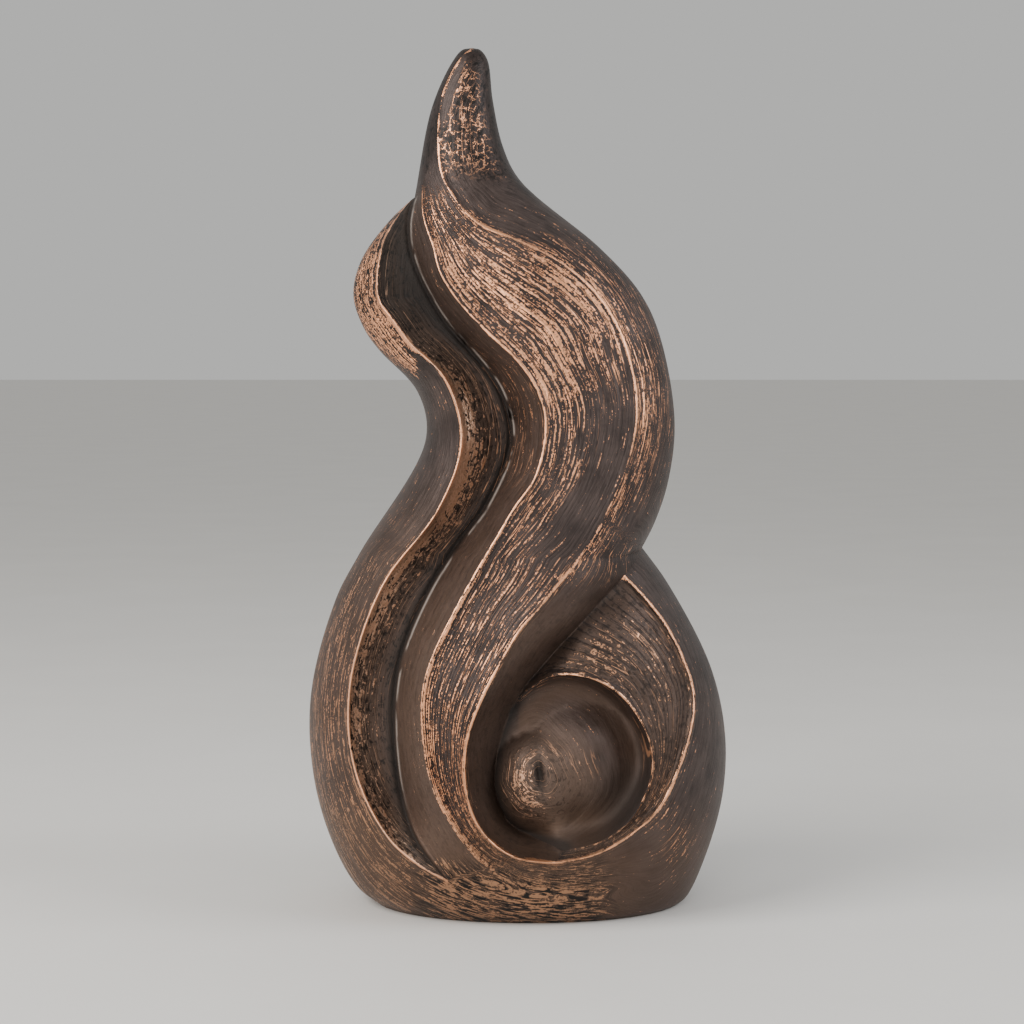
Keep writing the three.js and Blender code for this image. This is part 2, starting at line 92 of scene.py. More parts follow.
@dataclass(frozen=True)
class Pose:
    """Outline, depth and feature lines of the flame, in percent of its height."""

    left_lobe: Points = (
        (-16.8, 0), (-19.5, 2.3), (-23.5, 11.7), (-24.5, 23.7), (-21.5, 35.6), (-18.6, 41.2),
        (-10.8, 54.5), (-11.7, 60.1), (-16.1, 64.9), (-17.9, 67.4), (-19.2, 71.3), (-18.3, 75.4),
        (-15.1, 79.9), (-12, 82.8),
    )
    left_flame: Points = (
        (-12, 82.8), (-10, 93.1), (-7.6, 98.4), (-6.4, 99.8), (-5.3, 100),
    )
    right_lobe: Points = (
        (19.3, 0), (20.2, 0.7), (22.4, 5.7), (24.3, 12.9), (24.5, 20.1), (22.7, 28), (17.7, 37.6),
        (14.6, 41.9),
    )
    right_flame: Points = (
        (14.6, 41.9), (16.2, 45.1), (17.7, 49.8), (18.4, 56.8), (16.6, 66.8), (14.3, 71.7), (9.6, 76.9),
        (0.3, 84.7), (-1.7, 88.6), (-2.9, 94), (-3.5, 98.6), (-4.4, 99.8), (-5.3, 100),
    )
    half_depth: Points = (
        (12.7, 0), (13.7, 0.7), (15.7, 3.3), (18.3, 9.5), (19.5, 17.9), (19.3, 26.2), (17.4, 35.7),
        (15.2, 42.9), (12.9, 51.2), (11.7, 59.5), (11.5, 67.9), (10.2, 75), (7.9, 81), (5.7, 86.2),
        (4.2, 91.7), (3, 96.4), (2.1, 98.6), (1.2, 99.6), (0.1, 100),
    )
    lip: Points = (
        (-12, 82.8), (-13.6, 80.6), (-15.3, 77.7), (-15.9, 71), (-14.2, 68.5), (-12.3, 65.9),
        (-8.5, 62.2), (-6.6, 57.2), (-6.6, 53.2), (-9.2, 46.8), (-15.3, 38.6), (-18.8, 28.7),
        (-19.1, 21.3), (-17.7, 15.7), (-14.4, 10), (-11, 7.2), (-8, 5.6),
    )
    crease: Points = (
        (-12, 82.8), (-12.6, 79.5), (-12.2, 76), (-9.2, 69.5), (-2.2, 60.7), (-0.8, 54.8), (-3.8, 47.2),
        (-6.1, 44.1), (-10.3, 37.6), (-13.7, 28.7), (-13.9, 18.6), (-12.3, 11.3), (-9.6, 7.3),
        (-8, 5.6),
    )
    ribbon_left: Points = (
        (-11, 83.9), (-10.8, 80.4), (-9.7, 77), (-8.8, 73.9), (-7.1, 71.1), (-3.7, 67.3), (0.1, 63.7),
        (2.5, 59.9), (3.1, 56.4), (2, 51.1), (-0.9, 46.8), (-10.2, 29.3), (-10.6, 22.5), (-9.1, 15.6),
        (-4.7, 8.7), (-3.1, 7.4),
    )
    ribbon_right: Points = (
        (-5.5, 99.7), (-6.5, 98.8), (-8.7, 94.4), (-9, 86.2), (-7.7, 83), (-4.5, 79.4), (-0.3, 77.6),
        (4.2, 75.4), (7.9, 72.6), (10.3, 69.6), (12.2, 65.7), (13.5, 59.1), (12.7, 53.2), (8.8, 44.7),
        (2.5, 36.8), (-0.1, 33.8), (-5.3, 23.3), (-5.8, 17.1), (-4.2, 12.1), (-0.5, 8.9), (4.2, 8.1),
    )
    rim: Points = (
        (4.2, 8.1), (8.6, 8.9), (13, 11.2), (16.4, 14.3), (20.1, 24.8), (18.7, 30.5), (16.2, 34.9),
        (13.9, 37.6), (12.1, 39.4),
    )
    wall_foot: Points = (
        (14.6, 41.9), (12.1, 39.4), (3.3, 30.2), (0, 26), (-2.2, 20.2), (-2.4, 14.8), (-0.4, 11),
        (5, 9),
    )
    inner_step: Points = (
        (0, 26), (1.9, 27.6), (4.4, 28.8), (7.8, 28.6), (11.7, 26.3), (14.8, 21.2), (14.9, 17),
        (12.7, 12.7), (9.6, 10.3), (5, 9),
    )
    back_fold: Points = (
        (14.6, 41.9), (10.5, 49), (4.5, 56), (-2.5, 64), (-7.5, 73), (-12, 82.8),
    )
    ribbon_flow: Points = (
        (-8, 5.6), (-3.1, 7.4), (1, 5.4), (7, 4.4), (14, 5), (20, 8),
    )
    foot_flow: Points = (
        (-8, 5.6), (-4, 3.9), (3, 2.6), (12, 2.6), (20, 4.4),
    )
    boss: tuple[float, float] = (2.5, 16.2)
    swell: tuple[float, float] = (7.6, 17.8)
    navel: tuple[float, float] = (2.4, 17.6)
    dimple: tuple[float, float] = (9.2, 19.2)
    fold_end: tuple[float, float] = (3.8, 10.4)
    rim_meets: int = 1
    step_begins: int = 3


@dataclass(frozen=True)
class Carving:
    """Sizes of the carving in millimetres, and how they run along the height in percent of it."""

    channel_depth: float = 24
    bowl_depth: float = 29
    shelf_drop: float = 3
    shelf_depth: float = 15
    face_hollow: float = 2.5
    boss_radius: float = 25
    boss_rise: float = 14
    boss_round: float = 0.8
    swell_radius: float = 31
    swell_rise: float = 11
    swell_round: float = 1.1
    bulge_blend: float = 3
    navel_size: tuple[float, float, float] = (1.9, 7.0, 3.6)
    dimple_size: tuple[float, float, float] = (3.5, 3.5, 1.1)
    pit_lean: float = 0.12
    bead_height: float = 0.7
    bead_width: float = 0.7
    bead_place: float = 1.5
    ridge_height: float = 1.1
    ridge_width: float = 1.7
    slit_depth: float = 1.5
    slit_width: float = 1.3
    back_step: float = 8
    back_reach_flame: float = 24
    back_reach_lobe: float = 7
    rim_fall: float = 4
    end_rise: float = 0.6
    end_reach: float = 9
    round_reach: float = 13
    round_size: float = 4.5
    round_margin: float = 4
    round_turns: int = 8
    round_least: float = 0.02
    fold_reach: float = 8
    edge_fade: float = 14
    back_fade: float = 32
    oval_power: float = 2.1
    back_share: float = 0.86
    soft_reach: float = 6
    soft_fade: float = 14
    soft_samples: int = 9
    notch_power: float = 5
    channel_run: Stops = ((6.2, 0), (15, 0.84), (26, 0.97), (48, 1), (69, 0.9), (76, 0.58), (82, 0.17))
    wall_run: Stops = ((24, 1), (30, 0.82), (36, 0.55), (41, 0.2), (43, 0))
    wall_turn: tuple[float, float] = (22, 37)
    fold_fade: tuple[float, float] = (30, 40)
    foot_fade: float = 4
    face_fade_low: tuple[float, float] = (8, 18)
    face_fade_high: tuple[float, float] = (70, 90)
    wall_overlap: float = 5
    channel_round: float = 1.7
    bank_round: float = 1.25
    wall_round_low: float = 0.85
    wall_round_high: float = 2


def ease(t: np.ndarray) -> np.ndarray:
    """Smooth step of a value from 0 to 1.

    Args:
        t: Values, of which those below 0 and above 1 are held.

    Returns:
        Eased values from 0 to 1.
    """
    s = np.clip(t, 0.0, 1.0)
    return s * s * (3 - 2 * s)


def between(value: np.ndarray, span: tuple[float, float]) -> np.ndarray:
    """Ease from 0 at the low end of a span to 1 at its high end.

    Args:
        value: Values to ease.
        span: Low and high end.

    Returns:
        Eased values from 0 to 1.
    """
    return ease((np.asarray(value, float) - span[0]) / (span[1] - span[0]))


def eased(table: Stops, value: np.ndarray) -> np.ndarray:
    """Ease from stop to stop of a table.

    Args:
        table: Pairs of a place and the value there, places rising.
        value: Places to look up.

    Returns:
        The table's values, held outside its ends.
    """
    stops = np.asarray(table, float)
    value = np.asarray(value, float)
    i = np.clip(np.searchsorted(stops[:, 0], value) - 1, 0, len(stops) - 2)
    t = ease((value - stops[i, 0]) / (stops[i + 1, 0] - stops[i, 0]))
    return stops[i, 1] + (stops[i + 1, 1] - stops[i, 1]) * t


def mound(away: np.ndarray, width: np.ndarray | float) -> np.ndarray:
    """Bell curve of a distance, 1 at the middle.

    Args:
        away: Distances.
        width: Distance at which the bell has fallen to about a third.

    Returns:
        Values from 0 to 1.
    """
    return np.exp(-((away / width) ** 2))


def share(a: np.ndarray, b: np.ndarray) -> np.ndarray:
    """Part that the first of two distances has in their sum.

    Args:
        a: First distances.
        b: Second distances.

    Returns:
        Values from 0 to 1.
    """
    return a / np.maximum(a + b, 1e-6)


def strand(points: Points, scale: float, steps: int = SPAN_STEPS) -> np.ndarray:
    """Centripetal curve through points.

    Args:
        points: Pairs of x and z.
        scale: Factor from the points' unit to millimetres.
        steps: Steps between two points.

    Returns:
        The curve's places, one a row.
    """
    p = np.asarray(points, float) * scale
    p = np.vstack([2 * p[0] - p[1], p, 2 * p[-1] - p[-2]])
    t = (np.arange(steps) / steps)[:, None]
    spans = []
    for a, b, c, d in zip(p, p[1:], p[2:], p[3:]):
        first, middle, last = (np.linalg.norm(q - r) ** 0.5 for q, r in ((b, a), (c, b), (d, c)))
        leave = ((b - a) / first - (c - a) / (first + middle) + (c - b) / middle) * middle
        arrive = ((c - b) / middle - (d - b) / (middle + last) + (d - c) / last) * middle
        spans.append(b + leave * t + (3 * c - 3 * b - 2 * leave - arrive) * t**2
                     + (2 * b - 2 * c + leave + arrive) * t**3)
    return np.vstack([*spans, p[-2:-1]])


def distance(places: np.ndarray, line: np.ndarray) -> np.ndarray:
    """Distance from places to a line of straight pieces.

    Args:
        places: Places, one a row.
        line: Corners of the line, one a row.

    Returns:
        One distance a place.
    """
    start, run = line[:-1], np.diff(line, axis=0)
    square = np.maximum((run**2).sum(1), 1e-12)
    chunk = 16384
    nearest = np.empty(len(places))
    for first in range(0, len(places), chunk):
        part = places[first:first + chunk]
        along = (part @ run.T - (start * run).sum(1)) / square
        along = np.clip(along, 0.0, 1.0)
        dx = start[:, 0] + along * run[:, 0] - part[:, :1]
        dz = start[:, 1] + along * run[:, 1] - part[:, 1:]
        nearest[first:first + chunk] = np.sqrt((dx * dx + dz * dz).min(1))
    return nearest


def inside(places: np.ndarray, loop: np.ndarray) -> np.ndarray:
    """Whether places lie inside a closed loop.

    Args:
        places: Places, one a row.
        loop: Corners of the loop, one a row.

    Returns:
        One truth value a place.
    """
    x, z = places[:, 0], places[:, 1]
    odd = np.zeros(len(places), bool)
    for (ax, az), (bx, bz) in zip(loop, np.roll(loop, 1, axis=0)):
        if az == bz:
            continue
        odd ^= ((az > z) != (bz > z)) & (x < (bx - ax) * (z - az) / (bz - az) + ax)
    return odd


class FlameForm:
    """The form of the urn, as a function of the height and the angle round it."""

    def __init__(self, height: float, pose: Pose, carving: Carving) -> None:
        """Draw the feature lines at the real height.

        Args:
            height: Height in millimetres.
            pose: Lines in percent of the height.
            carving: Sizes of the carving.
        """
        self.height = height
        self.percent = height / 100
        self.pose = pose
        self.carving = carving
        names = ("lip", "crease", "ribbon_left", "ribbon_right", "rim", "wall_foot", "inner_step")
        self.lines = {name: strand(getattr(pose, name), self.percent) for name in names}
        self.back_fold = strand(pose.back_fold, self.percent)
        self.left = self._rising(pose.left_lobe, pose.left_flame)
        self.right = self._rising(pose.right_lobe, pose.right_flame)
        self.deep = self._rising(pose.half_depth)
        self.loops = self._loops()

    def _rising(self, *parts: Points) -> np.ndarray:
        """Join curves into one line whose height never falls.

        Args:
            *parts: Lists of points from the foot upwards.

        Returns:
            The line's places.
        """
        line = np.vstack([strand(part, self.percent) for part in parts])
        line[:, 1] = np.maximum.accumulate(line[:, 1])
        return line

    def _loops(self) -> dict[Zone, np.ndarray]:
        """Close the areas between the lines.

        Returns:
            The loop of each carved zone of the front.
        """
        line = self.lines
        foot = line["wall_foot"]
        high = foot[self.pose.rim_meets * SPAN_STEPS:self.pose.step_begins * SPAN_STEPS + 1]
        low = foot[self.pose.step_begins * SPAN_STEPS:]
        right = line["ribbon_right"]
        level = foot[0, 1] + self.carving.wall_overlap * self.percent
        beside = int(np.argmax((right[:, 0] > 0) & (right[:, 1] < level)))
        return {
            Zone.CHANNEL: np.vstack([line["lip"], line["crease"][::-1]]),
            Zone.BANK: np.vstack([line["crease"], line["ribbon_left"][::-1]]),
            Zone.FACE: np.vstack([line["ribbon_left"], right[::-1]]),
            Zone.WALL: np.vstack([right[beside:], foot[::-1]]),
            Zone.BOWL: np.vstack([line["inner_step"], low[::-1]]),
            Zone.SHELF: np.vstack([high, line["inner_step"], line["rim"]]),
        }

    def zones(self, places: np.ndarray) -> dict[Zone, np.ndarray]:
        """Give each place of the front to one zone.

        Args:
            places: Places in the front view.

        Returns:
            A mask of places for each zone of the front.
        """
        free = np.ones(len(places), bool)
        found = {}
        for zone, loop in self.loops.items():
            found[zone] = inside(places, loop) & free
            free &= ~found[zone]
        found[Zone.OUTER] = free
        return found

    def sides(self, z: np.ndarray) -> tuple[np.ndarray, np.ndarray]:
        """Outline at a height.

        Args:
            z: Heights.

        Returns:
            Left and right x of the outline.
        """
        left = np.interp(z, self.left[:, 1], self.left[:, 0])
        return left, np.interp(z, self.right[:, 1], self.right[:, 0])

    def soft_sides(self, z: np.ndarray) -> tuple[np.ndarray, np.ndarray]:
        """Outline averaged over a stretch that shrinks to nothing at the foot and the tip.

        Args:
            z: Heights.

        Returns:
            Left and right x of the averaged outline.
        """
        size = self.carving
        end = np.minimum(z, self.height - z) / self.percent
        reach = size.soft_reach * self.percent * between(end, (0, size.soft_fade))
        pairs = [self.sides(z + offset * reach) for offset in np.linspace(-1, 1, size.soft_samples)]
        return np.mean([p[0] for p in pairs], axis=0), np.mean([p[1] for p in pairs], axis=0)

    def half_depths(self, angle: np.ndarray, x: np.ndarray, z: np.ndarray) -> np.ndarray:
        """Half thickness of the plain body, before its back is made flatter.

        Args:
            angle: Angles round the row, 0 at the left side.
            x: Places across.
            z: Heights.

        Returns:
            Half thicknesses in millimetres.
        """
        size = self.carving
        sharp = -np.cos(angle)
        left, right = self.soft_sides(z)
        soft = np.clip((2 * x - left - right) / np.maximum(right - left, 1e-6), -1, 1)
        across = soft + (sharp - soft) * np.abs(sharp) ** size.notch_power
        oval = np.maximum(1 - np.abs(across) ** size.oval_power, 0) ** (1 / size.oval_power)
        return np.interp(z, self.deep[:, 1], self.deep[:, 0]) * oval

    def shelf(self, to: dict[str, np.ndarray], wall: np.ndarray, fold: np.ndarray) -> np.ndarray:
        """Depth of the shelf between the rim and the foot of the ribbon's wall.

        Args:
            to: Distances to the lines.
            wall: Depth of the wall's foot.
            fold: How much of that depth runs on beside the fold.

        Returns:
            Depths in millimetres.
        """
        size = self.carving
        across = share(to["rim"], to["wall_foot"])
        slope = np.maximum(wall * size.shelf_depth / size.bowl_depth - size.shelf_drop, 0) * across
        plain = np.minimum(size.shelf_drop * ease(to["rim"] / size.shelf_drop) + slope, wall)
        folded = plain + (wall - plain) * across * np.exp(-to["wall_foot"] / size.fold_reach)
        return folded + (wall - folded) * fold

    def away(self, places: np.ndarray, middle: tuple[float, float]) -> np.ndarray:
        """Distance in the front view from a middle.

        Args:
            places: Places in the front view.
            middle: Middle in percent of the height.

        Returns:
            Distances in millimetres.
        """
        return np.hypot(places[:, 0] - middle[0] * self.percent, places[:, 1] - middle[1] * self.percent)

    def bulge(self, places: np.ndarray) -> np.ndarray:
        """Rise of the boss and of the swelling beside it, run together, over the floor of the bowl.

        Args:
            places: Places in the front view.

        Returns:
            Heights in millimetres.
        """
        size = self.carving
        boss = np.maximum(1 - (self.away(places, self.pose.boss) / size.boss_radius) ** 2, 0)
        swell = np.maximum(1 - (self.away(places, self.pose.swell) / size.swell_radius) ** 2, 0)
        rises = (size.boss_rise * boss**size.boss_round, size.swell_rise * swell**size.swell_round)
        return sum(rise**size.bulge_blend for rise in rises) ** (1 / size.bulge_blend)

    def pits(self, places: np.ndarray) -> np.ndarray:
        """Depth of the narrow navel in the boss and of the small dimple in the swelling.

        Args:
            places: Places in the front view.

        Returns:
            Depths in millimetres.
        """
        pose, size = self.pose, self.carving
        total = np.zeros(len(places))
        for middle, (wide, tall, deep) in ((pose.navel, size.navel_size), (pose.dimple, size.dimple_size)):
            x, z = (places[:, axis] - middle[axis] * self.percent for axis in (0, 1))
            total += deep * np.exp(-((x + size.pit_lean * z) / wide) ** 2 - (z / tall) ** 2)
        return total

    def carved(self, places: np.ndarray, to: dict[str, np.ndarray],
               zone: dict[Zone, np.ndarray]) -> np.ndarray:
        """Depth carved into the front, before it dies away at the outline.

        Args:
            places: Places in the front view.
            to: Distances to the lines.
            zone: Masks of the zones.

        Returns:
            Depths in millimetres.
        """
        size = self.carving
        at = places[:, 1] / self.percent
        channel = size.channel_depth * eased(size.channel_run, at)
        run_out = mound(self.away(places, self.pose.inner_step[-1]), size.end_reach)
        deep = size.bowl_depth * (1 - size.end_rise * run_out)
        wall = deep * eased(size.wall_run, at)
        right = places[:, 0] > 0
        fold = right * between(at, size.fold_fade) * np.exp(-to["wall_foot"] / size.fold_reach)
        across = share(to["ribbon_left"], to["ribbon_right"])
        along = between(at, size.face_fade_low) * (1 - between(at, size.face_fade_high))
        rounder = size.wall_round_high - size.wall_round_low
        power = size.wall_round_low + rounder * between(at, size.wall_turn)
        shelf = self.shelf(to, wall, fold)
        floor = shelf + (deep - shelf) * (1 - np.exp(-to["inner_step"] / size.rim_fall))
        floor += self.pits(places) - self.bulge(places)
        depths = {
            Zone.CHANNEL: channel * (1 - (1 - share(to["lip"], to["crease"])) ** size.channel_round),
            Zone.BANK: channel * share(to["ribbon_left"], to["crease"]) ** size.bank_round,
            Zone.FACE: size.face_hollow * ease(4 * across * (1 - across)) * along,
            Zone.WALL: wall * share(to["ribbon_right"], to["wall_foot"]) ** power,
            Zone.BOWL: floor,
            Zone.SHELF: shelf,
            Zone.OUTER: wall * fold,
        }
        return np.select([zone[name] for name in depths], list(depths.values()))

    def rounded(self, places: np.ndarray, to: dict[str, np.ndarray], depth: np.ndarray) -> np.ndarray:
        """Round the fold of the bowl where it runs out, by the mean depth of the places round about.

        Args:
            places: Places in the front view.
            to: Distances to the lines.
            depth: Depths carved there.

        Returns:
            Depths in millimetres.
        """
        size = self.carving
        weight = mound(self.away(places, self.pose.fold_end), size.round_reach)
        weight = weight * ease(np.minimum(to["rim"], to["ribbon_right"]) / size.round_margin)
        near = weight > size.round_least
        depths = [depth[near]]
        for turn in np.linspace(0, 2 * math.pi, size.round_turns, endpoint=False):
            for reach in (0.5 * size.round_size, size.round_size):
                moved = places[near] + reach * np.array([math.cos(turn), math.sin(turn)])
                moved_to = {name: distance(moved, line) for name, line in self.lines.items()}
                depths.append(self.carved(moved, moved_to, self.zones(moved)))
        result = depth.copy()
        result[near] += weight[near] * (np.mean(depths, axis=0) - depth[near])
        return result

    def front_relief(self, places: np.ndarray, thickness: np.ndarray) -> np.ndarray:
        """How far the finished front lies behind the plain body.

        Args:
            places: Places in the front view.
            thickness: Half thickness of the plain body there.

        Returns:
            Depths in millimetres.
        """
        size = self.carving
        to = {name: distance(places, line) for name, line in self.lines.items()}
        ridges = [to[name] for name in ("lip", "ribbon_left", "ribbon_right", "rim", "inner_step")]
        ridge = size.ridge_height * mound(np.minimum.reduce(ridges), size.ridge_width)
        slit = size.slit_depth * mound(to["crease"], size.slit_width)
        zone = self.zones(places)
        bead = size.bead_height * mound(to["crease"] - size.bead_place, size.bead_width) * zone[Zone.BANK]
        depth = self.rounded(places, to, self.carved(places, to, zone)) + slit - ridge - bead
        fade = 1 - np.exp(-thickness / size.edge_fade)
        return depth * fade * ease(places[:, 1] / self.percent / size.foot_fade)

    def back_relief(self, places: np.ndarray, thickness: np.ndarray) -> np.ndarray:
        """Depth of the soft step in which the flame leaves the lobe on the back.

        Args:
            places: Places in the front view.
            thickness: Half thickness of the plain back there.

        Returns:
            Depths in millimetres.
        """
        size = self.carving
        fold_x = np.interp(places[:, 1], self.back_fold[:, 1], self.back_fold[:, 0])
        reach = np.where(places[:, 0] > fold_x, size.back_reach_flame, size.back_reach_lobe)
        step = size.back_step * np.exp(-distance(places, self.back_fold) / reach)
        return step * (1 - np.exp(-thickness / size.back_fade))

    def surface(self, angle: np.ndarray, z: np.ndarray) -> np.ndarray:
        """Points of the finished surface.

        Args:
            angle: Angles round the row, 0 at the left side, and past half a turn on the back.
            z: Heights.

        Returns:
            Points in millimetres, one a row.
        """
        left, right = self.sides(z)
        x = (left + right) / 2 - (right - left) / 2 * np.cos(angle)
        places = np.stack([x, z], axis=1)
        depth = self.half_depths(angle, x, z)
        front = angle <= math.pi
        y = self.carving.back_share * depth
        y[~front] -= self.back_relief(places[~front], y[~front])
        y[front] = self.front_relief(places[front], depth[front]) - depth[front]
        return np.stack([x, y, z], axis=1)


@dataclass
class HalfRow:
    """Corners of half a row: lengths along it, angles, and the corner that lies on each seam."""

    along: np.ndarray
    angle: np.ndarray
    pins: dict[str, int]
    ids: np.ndarray = field(default_factory=lambda: np.zeros(0, int))


@dataclass(frozen=True)
class RowMesher:
    """Meshes the form in rows whose corners lie on the seams, so that every ridge stays crisp."""

    form: FlameForm
    rows: int = 214
    front_corners: int = 352
    back_corners: int = 92
    merge: float = 0.15
    samples: int = 360
    tip_gap: float = 0.15
    fine_steps: int = 4000
    crowding: tuple[tuple[float, float, float], ...] = ((0, 1.5, 3), (9, 2.5, 2.2), (28, 2, 1.2), (99, 2, 4))

    def seams(self) -> tuple[dict[str, np.ndarray], dict[str, np.ndarray]]:
        """Lines that rise or fall all the way, with their heights rising.

        Returns:
            The seams of the front and those of the back.
        """
        lines = dict(self.form.lines)
        step = lines.pop("inner_step")
        top = int(np.argmax(step[:, 1]))
        lines["step_up"] = step[:top + 1]
        lines["step_down"] = step[top:]
        rising = {name: line if line[-1, 1] > line[0, 1] else line[::-1] for name, line in lines.items()}
        return rising, {"back_fold": self.form.back_fold}

    def heights(self, seams: list[np.ndarray]) -> np.ndarray:
        """Heights of the rows, closer together at the foot, the bowl and the tip.

        Args:
            seams: Lines at whose ends a row has to lie.

        Returns:
            Heights in millimetres.
        """
        place = np.linspace(0, 100 - self.tip_gap, self.fine_steps)
        dense = 1 + sum(gain * mound(place - at, reach) for at, reach, gain in self.crowding)
        total = np.concatenate([[0], np.cumsum((dense[1:] + dense[:-1]) / 2)])
        rows = np.interp(np.linspace(0, total[-1], self.rows), total, place) * self.form.percent
        for end in [corner for seam in seams for corner in (seam[0, 1], seam[-1, 1])]:
            nearest = 1 + int(np.argmin(np.abs(rows[1:-1] - end)))
            rows[nearest] = end
        return rows

    def half_row(self, z: float, measured: np.ndarray, seams: dict[str, np.ndarray], start: float,
                 corners: int) -> HalfRow:
        """Place the corners of half a row: one on each seam, and even ones between.

        Args:
            z: Height of the row.
            measured: Points of the half row in small steps.
            seams: Lines that may cross the row.
            start: Angle at which the half row starts.
            corners: About how many corners it gets.

        Returns:
            The half row.
        """
        steps = np.linalg.norm(np.diff(measured, axis=0), axis=1)
        along = np.concatenate([[0], np.cumsum(steps)])
        angles = start + np.linspace(0, math.pi, len(measured))
        left, right = self.form.sides(np.array(z))
        found = [(0.0, ["side"]), (along[-1], ["end"])]
        for name, seam in seams.items():
            if seam[0, 1] - 1e-6 <= z <= seam[-1, 1] + 1e-6:
                x = np.interp(z, seam[:, 1], seam[:, 0])
                turn = math.acos(float(np.clip((left + right - 2 * x) / max(right - left, 1e-6), -1, 1)))
                found.append((float(np.interp(2 * math.pi - turn if start else turn, angles, along)), [name]))
        merged: list[tuple[float, list[str]]] = []
        for at, names in sorted(found, key=lambda pin: pin[0]):
            if merged and at - merged[-1][0] < self.merge:
                merged[-1][1].extend(names)
            else:
                merged.append((at, list(names)))
        facet = along[-1] / corners
        places: list[np.ndarray] = []
        pins = {name: 0 for name in merged[0][1]}
        count = 0
        for (at, _), (following, names) in zip(merged, merged[1:]):
            pieces = max(round((following - at) / facet), 1)
            places.append(np.linspace(at, following, pieces, endpoint=False))
            count += pieces
            pins.update({name: count for name in names})
        stations = np.concatenate([*places, [along[-1]]])
        return HalfRow(stations, np.interp(stations, along, angles), pins)

    @staticmethod
    def zip_chains(low: HalfRow, high: HalfRow, span: tuple[int, int, int, int]) -> np.ndarray:
        """Triangles between two chains of corners that run the same way, one above the other.

        Args:
            low: Lower half row.
            high: Upper half row.
            span: First and last corner of the lower chain, then of the upper one.

        Returns:
            Corner numbers, one triangle a row.
        """
        a, b, c, d = span
        lower, upper = low.along[a:b + 1], high.along[c:d + 1]
        low_share = (lower - lower[0]) / max(lower[-1] - lower[0], 1e-9)
        high_share = (upper - upper[0]) / max(upper[-1] - upper[0], 1e-9)
        i = np.arange(b - a)
        j = np.searchsorted(high_share[1:], low_share[1:], side="left")
        first = np.stack([low.ids[a + i], low.ids[a + i + 1], high.ids[c + j]], axis=1)
        j = np.arange(d - c)
        i = np.searchsorted(low_share[1:], high_share[1:], side="right")
        second = np.stack([low.ids[a + i], high.ids[c + j + 1], high.ids[c + j]], axis=1)
        return np.vstack([first, second])

    def join(self, low: HalfRow, high: HalfRow) -> np.ndarray:
        """Join two half rows, stretch by stretch between the seams that both of them cross.

        Args:
            low: Lower half row.
            high: Upper half row.

        Returns:
            Corner numbers, one triangle a row.
        """
        shared = sorted((at, high.pins[name]) for name, at in low.pins.items() if name in high.pins)
        pieces = []
        i, j = 0, 0
        for a, b in shared:
            if b >= j and (a > i or b > j):
                pieces.append(self.zip_chains(low, high, (i, a, j, b)))
                i, j = a, b
        return np.vstack(pieces)

    def build(self) -> tuple[np.ndarray, np.ndarray, np.ndarray]:
        """Mesh the whole form.

        Returns:
            Points in millimetres, angle of each point, and triangles as corner numbers.
        """
        front_seams, back_seams = self.seams()
        heights = self.heights([*front_seams.values(), *back_seams.values()])
        turn = np.linspace(0, math.pi, self.samples + 1)
        grid = np.repeat(heights, len(turn))
        front = self.form.surface(np.tile(turn, len(heights)), grid).reshape(len(heights), -1, 3)
        behind = np.nextafter(math.pi, 4) + turn
        back = self.form.surface(np.tile(behind, len(heights)), grid).reshape(len(heights), -1, 3)
        rows = []
        angle, z = [], []
        count = 0
        for height, fore, aft in zip(heights, front, back):
            one = self.half_row(height, fore, front_seams, 0.0, self.front_corners)
            two = self.half_row(height, aft, back_seams, math.pi, self.back_corners)
            total = len(one.along) + len(two.along) - 2
            ids = count + np.arange(total + 1)
            ids[-1] = count
            one.ids, two.ids = ids[:len(one.along)], ids[len(one.along) - 1:]
            angle.append(np.concatenate([one.angle[:-1], two.angle[:-1]]))
            z.append(np.full(total, height))
            rows.append((one, two, ids[:-1]))
            count += total
        angles, levels = np.concatenate(angle), np.concatenate(z)
        points = self.form.surface(angles, levels)
        triangles = [self.join(a[k], b[k]) for a, b in zip(rows, rows[1:]) for k in (0, 1)]
        foot, top = rows[0][2], rows[-1][2]
        under, tip = count, count + 1
        triangles.append(np.stack([np.full(len(foot), under), np.roll(foot, -1), foot], axis=1))
        triangles.append(np.stack([np.full(len(top), tip), top, np.roll(top, -1)], axis=1))
        ends = np.array([[0, 0, 0], [self.form.left[-1, 0], 0, self.form.height]])
        return np.vstack([points, ends]), np.append(angles, [0.0, 0.0]), np.vstack(triangles)


@dataclass(frozen=True)
class EdgeRub:
    """How strongly a ridge is rubbed through, and how widely on either side, along the height in percent."""

    line: str
    strength: Stops
    left: Stops
    right: Stops


